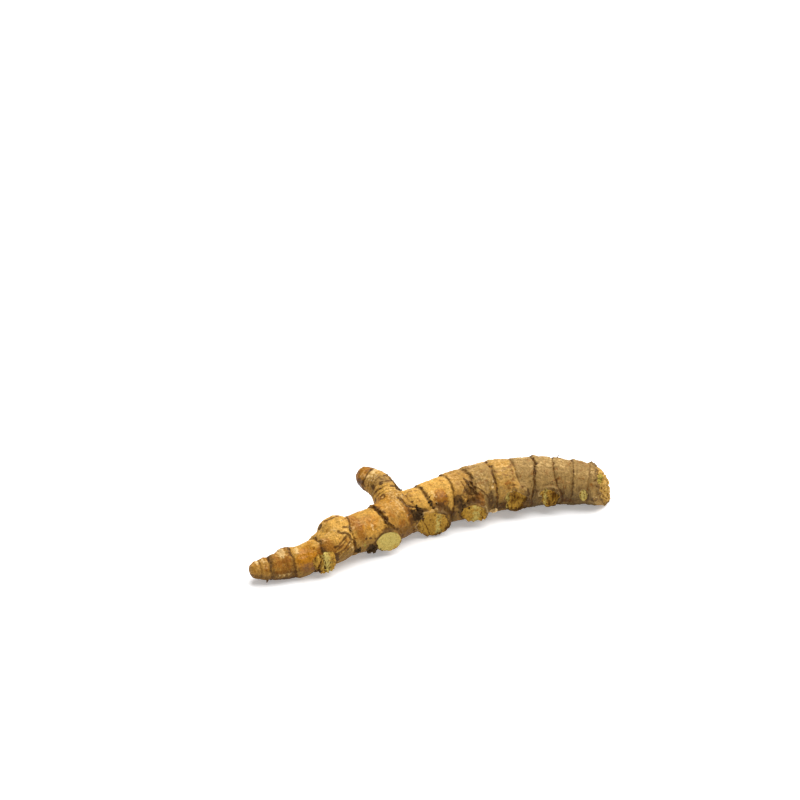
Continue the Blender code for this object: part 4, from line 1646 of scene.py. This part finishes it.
@dataclass
class ScaleRemains:
    """The ragged remains of scale leaves, which stand along the rings and lean to the tip."""

    column: float = 0.34
    thickness: float = 0.16
    sink: float = 0.3
    lean: float = 0.75
    curl: float = 0.5
    end_round: float = 0.4
    least_share: float = 0.15
    usual_share: float = 0.62
    raggedness: float = 1.1
    tear_size: float = 1.1
    wave: float = 0.35
    wave_size: float = 1.7
    least_columns: int = 4
    clearance: float = 0.03
    strips: tuple[Strip, ...] = (
        Strip(((58.4, 96), (58.6, 72), (59.0, 60), (60.9, 49), (63.6, 37), (66.4, 24)), 0.9),
        Strip(((20.4, -14), (21.6, -22), (24.4, -26), (27.4, -22)), 0.9),
        Strip(((62.0, 2), (62.6, 12), (65.6, 21)), 0.7),
        Strip(((84.6, 66), (85.4, 50), (86.8, 36)), 0.8),
        Strip(((100.4, -48), (103.0, -56), (107.0, -54), (109.4, -40)), 0.9),
    )
    finger_strips: tuple[Strip, ...] = (
        Strip(((6.4, 40), (8.6, 48), (10.8, 46), (13.0, 50), (15.6, 54)), 0.7),
        Strip(((6.6, 30), (9.0, 34), (12.0, 36)), 0.6),
    )

    def build(self, surface: Surface) -> bpy.types.Object:
        """Builds every strip in one mesh.

        Args:
            surface: the finished skin.

        Returns:
            The finished piece.
        """
        mesh = bmesh.new()
        edge = mesh.verts.layers.float.new("edge")
        for stem, strip in self.all_strips():
            run = []
            for place, turn in self.columns(stem, strip):
                found = surface.at(stem, place, turn)
                if found:
                    run.append((*found, Vector(stem.read(stem.along, np.array([place]))[0])))
                elif run:
                    self.stand(mesh, edge, run, strip.height)
                    run = []
            self.stand(mesh, edge, run, strip.height)
        return settle("scale_remains", mesh, PaperFinish().recipe())

    def all_strips(self) -> list[tuple[Stem, Strip]]:
        """Lists the strips named above and those that the rings' remains stand for.

        Returns:
            Every strip with the stem that it stands on.
        """
        strips = [(SPINE, strip) for strip in self.strips]
        strips += [(FINGER, strip) for strip in self.finger_strips]
        for stem, rings in ((SPINE, SPINE_RINGS), (FINGER, FINGER_RINGS)):
            for ring in rings:
                for left in ring.remains:
                    turns = np.linspace(left.start, left.end, 12)
                    path = tuple(zip(ring_line(ring, turns).tolist(), turns.tolist()))
                    strips.append((stem, Strip(path, left.height)))
        return strips

    def columns(self, stem: Stem, strip: Strip) -> list[tuple[float, float]]:
        """Spaces columns closely along a strip.

        Args:
            stem: the stem that the strip is on.
            strip: the strip.

        Returns:
            The place and the turn of each column.
        """
        knots = np.array(strip.path, float)
        radius = float(stem.radius(knots[0, 0]))
        steps = np.diff(knots, axis=0) * (1.0, math.radians(1.0) * radius)
        along = np.concatenate([[0.0], np.cumsum(np.hypot(*steps.T))])
        at = np.linspace(0.0, along[-1], max(3, int(along[-1] / self.column)))
        return list(zip(np.interp(at, along, knots[:, 0]), np.interp(at, along, knots[:, 1])))

    def stand(
        self,
        mesh: bmesh.types.BMesh,
        edge: bmesh.types.BMLayerItem,
        run: list[tuple[Vector, Vector, Vector]],
        height: float,
    ) -> None:
        """Stands one strip on the skin.

        Args:
            mesh: the mesh to add to.
            edge: the layer that says how near the torn edge a point is.
            run: a point of the skin, its normal and the stem's direction for each column.
            height: the strip's greatest height.
        """
        if len(run) < self.least_columns:
            return
        loops = []
        for number, (point, normal, along) in enumerate(run):
            ends = math.sin(math.pi * (number + 0.5) / len(run)) ** self.end_round
            ragged = noise.fractal(point / self.tear_size, 1.0, 2.0, 3)
            tall = height * ends * max(self.least_share, self.usual_share + self.raggedness * ragged)
            forward = (normal.cross(along.cross(normal))).normalized()
            wave = self.wave * noise.noise(point / self.wave_size)
            loop = []
            for side in (1.0, -1.0):
                for share in (0.0, 0.5, 1.0) if side > 0 else (1.0, 0.5, 0.0):
                    risen = tall * share * (1.0 - self.curl * share * share)
                    out = normal * (risen - self.sink * (1.0 - share))
                    ahead = -forward * (tall * share * (self.lean + wave))
                    thick = forward * (side * self.thickness * (0.5 - 0.3 * share))
                    placed = above_table(point + out + ahead + thick, self.clearance)
                    vertex = mesh.verts.new(placed)
                    vertex[edge] = share
                    loop.append(vertex)
            loops.append(loop)
        join_loops(mesh, loops)


def settle(name: str, mesh: bmesh.types.BMesh, material: bpy.types.Material) -> bpy.types.Object:
    """Makes a finished piece of a mesh that clings to the root.

    Args:
        name: the piece's name.
        mesh: its mesh, which is freed.
        material: its finish.

    Returns:
        The piece, riding on the root.
    """
    bmesh.ops.recalc_face_normals(mesh, faces=mesh.faces)
    data = bpy.data.meshes.new(name)
    mesh.to_mesh(data)
    mesh.free()
    data.shade_smooth()
    data.materials.append(material)
    piece = add_object(name, data)
    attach(piece, BODY)
    return piece


@dataclass(frozen=True)
class Hair:
    """A rootlet that stands on the spine: its place, turn, length, radius and how far it bends."""

    place: float
    turn: float
    length: float
    radius: float
    bend: float = 0.3


@dataclass(frozen=True)
class HairFinish:
    """Dry rootlets: brown, in part pale."""

    brown: Colour = (0.10, 0.045, 0.014)
    pale: Colour = (0.40, 0.24, 0.09)

    def recipe(self) -> bpy.types.Material:
        """Makes the material.

        Returns:
            The material.
        """
        r = Recipe("dry rootlet")
        mottle = r.clouds(r.place(), 1.2, 3)
        colour = r.mix((0.35 + 0.7 * mottle).step(0.2, 1.1), self.brown, self.pale)
        return r.finish(colour, 0.7 + 0.1 * mottle, 0.04 * mottle, {"Specular IOR Level": 0.2})


@dataclass
class Rootlets:
    """Short dry remains of rootlets, most of them low on the root and behind it."""

    known: tuple[Hair, ...] = (
        Hair(121.4, 110, 3.2, 0.22, 0.7),
        Hair(4.2, -40, 1.3, 0.5, 0.2),
        Hair(97.2, -14, 2.4, 0.28, 0.7),
        Hair(30.2, 126, 1.0, 0.3, 0.4),
        Hair(62.6, 128, 1.2, 0.3, 0.5),
    )
    count: int = 22
    places: Span = (10.0, 136.0)
    low_share: float = 0.4
    low_turns: Span = (-150.0, -70.0)
    back_turns: Span = (150.0, 215.0)
    lengths: Span = (0.6, 2.4)
    radii: Span = (0.12, 0.3)
    bends: Span = (0.4, 1.2)
    taper: float = 0.6
    foot_flare: float = 1.15
    least_foot: float = 1.2
    foot_depth: float = 0.2
    clearance: float = 0.05
    steps: int = 6
    sides: int = 6
    seed: int = 5

    def build(self, surface: Surface) -> bpy.types.Object:
        """Builds every rootlet in one mesh.

        Args:
            surface: the finished skin.

        Returns:
            The finished piece.
        """
        draw = np.random.default_rng(self.seed)
        hairs = list(self.known)
        for _ in range(self.count):
            turn = hidden_turn(draw, self.low_share, self.low_turns, self.back_turns)
            length, radius = draw.uniform(*self.lengths), draw.uniform(*self.radii)
            hairs.append(Hair(draw.uniform(*self.places), turn, length, radius, draw.uniform(*self.bends)))
        mesh = bmesh.new()
        for hair in hairs:
            found = surface.at(SPINE, hair.place, hair.turn)
            if found and found[0].z > self.least_foot:
                self.grow(mesh, hair, *found)
        return settle("rootlets", mesh, HairFinish().recipe())

    def grow(self, mesh: bmesh.types.BMesh, hair: Hair, foot: Vector, normal: Vector) -> None:
        """Grows one rootlet.

        Args:
            mesh: the mesh to add to.
            hair: its sizes.
            foot: the point of the skin that it stands on.
            normal: the direction that the skin faces there.
        """
        aside = normal.cross(Vector((0.3, 0.2, 1.0))).normalized()
        loops = []
        for step in range(self.steps + 1):
            share = step / self.steps
            curve = aside * (hair.bend * hair.length * share * share)
            risen = hair.length * share * (1.0 - 0.3 * hair.bend * share)
            middle = foot + normal * (risen - self.foot_depth) + curve
            radius = hair.radius * (1.0 - self.taper * share) * (1.0 if step else self.foot_flare)
            loop = []
            for side in range(self.sides):
                angle = 2 * math.pi * side / self.sides
                arm = aside * math.cos(angle) + normal.cross(aside) * math.sin(angle)
                loop.append(mesh.verts.new(above_table(middle + arm * radius, self.clearance)))
            loops.append(loop)
        join_loops(mesh, loops)


@dataclass(frozen=True)
class SoilFinish:
    """Dry soil: dark warm brown and gritty."""

    dark: Colour = (0.046, 0.024, 0.007)
    light: Colour = (0.15, 0.080, 0.026)

    def recipe(self) -> bpy.types.Material:
        """Makes the material.

        Returns:
            The material.
        """
        r = Recipe("dry soil")
        mottle, specks = r.clouds(r.place(), 0.9, 3), r.clouds(r.place(), 0.3, 2)
        colour = r.mix((0.35 * mottle + 0.4 * specks + 0.2).step(0.1, 1.0), self.dark, self.light)
        return r.finish(colour, 0.9 + 0.05 * mottle, 0.08 * (specks + mottle), {"Specular IOR Level": 0.15})


@dataclass
class Soil:
    """Crumbs of soil in the dirty patches, and one clod that hangs low in front."""

    clod_place: float = 44.2
    clod_turn: float = -46.0
    clod_crumbs: int = 16
    clod_spread: float = 1.1
    clod_turn_spread: float = 7.0
    clod_radius: Span = (0.5, 0.95)
    crumbs: int = 110
    crumb_radius: Span = (0.14, 0.42)
    scatter: float = 0.6
    stand: float = 0.35
    lump: float = 0.9
    lump_size: float = 0.9
    noise_span: float = 50.0
    clearance: float = 0.02
    seed: int = 3

    def build(self, surface: Surface) -> bpy.types.Object:
        """Builds all crumbs in one mesh.

        Args:
            surface: the finished skin.

        Returns:
            The finished piece.
        """
        draw = np.random.default_rng(self.seed)
        mesh = bmesh.new()
        dirty = [mark for mark in SPINE_MARKS if mark.stain is Stain.SOIL]
        for number in range(self.crumbs):
            mark = dirty[number % len(dirty)]
            place = mark.place + draw.normal(0.0, self.scatter) * mark.length
            aside = draw.normal(0.0, self.scatter) * mark.width
            turn = mark.turn + math.degrees(aside / float(SPINE.radius(mark.place)))
            self.drop(mesh, surface, place, turn, draw.uniform(*self.crumb_radius), draw)
        for _ in range(self.clod_crumbs):
            place = self.clod_place + draw.normal(0.0, self.clod_spread)
            turn = self.clod_turn + draw.normal(0.0, self.clod_turn_spread)
            self.drop(mesh, surface, place, turn, draw.uniform(*self.clod_radius), draw)
        return settle("soil_crumbs", mesh, SoilFinish().recipe())

    def drop(
        self,
        mesh: bmesh.types.BMesh,
        surface: Surface,
        place: float,
        turn: float,
        radius: float,
        draw: np.random.Generator,
    ) -> None:
        """Presses one crumb to the skin.

        Args:
            mesh: the mesh to add to.
            surface: the finished skin.
            place: how far along the spine.
            turn: the turn round it.
            radius: the crumb's radius.
            draw: the source of its shape.
        """
        found = surface.at(SPINE, place, turn)
        shift = Vector(draw.uniform(-self.noise_span, self.noise_span, 3))
        if not found:
            return
        middle = found[0] + found[1] * (self.stand * radius)
        made = bmesh.ops.create_icosphere(mesh, subdivisions=2, radius=radius)
        for vertex in made["verts"]:
            grown = 1.0 + self.lump * noise.noise(vertex.co / (self.lump_size * radius) + shift)
            vertex.co = above_table(middle + vertex.co * grown, self.clearance)


# What surrounds the root


@dataclass
class Studio:
    """A pale floor, soft light and the camera."""

    floor_side: float = 6.0
    floor_drop: float = 0.05
    floor_colour: Colour = (0.9, 0.9, 0.9)
    camera_place: Point = (-152.46, -433.11, 330.98)
    camera_turn: float = -18.04
    camera_down: float = 31.0
    lens: float = 70.0
    key_power: float = 30.0
    key_size: float = 1.7
    key_place: Point = (0.42, 0.24, 1.0)
    sky: float = 0.3
    glow: float = 0.3

    def build(self) -> None:
        """Sets up the floor, the lights, the sky and the camera."""
        self.make_floor()
        self.make_light()
        self.make_camera()

    def make_floor(self) -> None:
        """A wide level floor just under the root."""
        mesh = bpy.data.meshes.new("floor")
        half = self.floor_side / 2
        corners = [(-half, -half), (half, -half), (half, half), (-half, half)]
        mesh.from_pydata([(x, y, -self.floor_drop * MM) for x, y in corners], [], [(0, 1, 2, 3)])
        r = Recipe("pale floor")
        glow = {"Emission Color": (1.0, 1.0, 1.0), "Emission Strength": self.glow}
        mesh.materials.append(r.finish(self.floor_colour, 0.9, r.clouds(r.place(), 3.0) * 0.005, glow))
        add_object("floor", mesh)

    def make_light(self) -> None:
        """One broad soft light from above and behind, and a white sky."""
        lamp = bpy.data.lights.new("key", "AREA")
        lamp.shape = "DISK"
        lamp.size = self.key_size
        lamp.energy = self.key_power
        key = add_object("key", lamp)
        key.location = self.key_place
        key.rotation_euler = Vector(self.key_place).to_track_quat("Z", "Y").to_euler()
        world = bpy.data.worlds.new("sky")
        world.use_nodes = True
        background = world.node_tree.nodes["Background"]
        background.inputs["Color"].default_value = (1.0, 1.0, 1.0, 1.0)
        background.inputs["Strength"].default_value = self.sky
        bpy.context.scene.world = world
        bpy.context.scene.view_settings.view_transform = "Standard"

    def make_camera(self) -> None:
        """The camera, looking down on the root from the front left."""
        camera = bpy.data.cameras.new("camera")
        camera.lens = self.lens
        holder = add_object("camera", camera)
        holder.location = Vector(np.array(self.camera_place) - FOOTPRINT_MIDDLE) * MM
        down, turn = math.radians(90.0 - self.camera_down), math.radians(self.camera_turn)
        holder.rotation_euler = Euler((down, 0.0, turn))
        bpy.context.scene.camera = holder


def main() -> None:
    """Builds the root and what clings to it, then the studio."""
    logging.basicConfig(level=logging.INFO, format="%(name)s: %(message)s")
    skin = Rhizome().build()
    surface = Surface(skin)
    for piece in (skin, ScaleRemains().build(surface), Rootlets().build(surface), Soil().build(surface)):
        log.info("%s has %d faces", piece.name, len(piece.data.polygons))
    Studio().build()


if __name__ == "__main__":
    main()
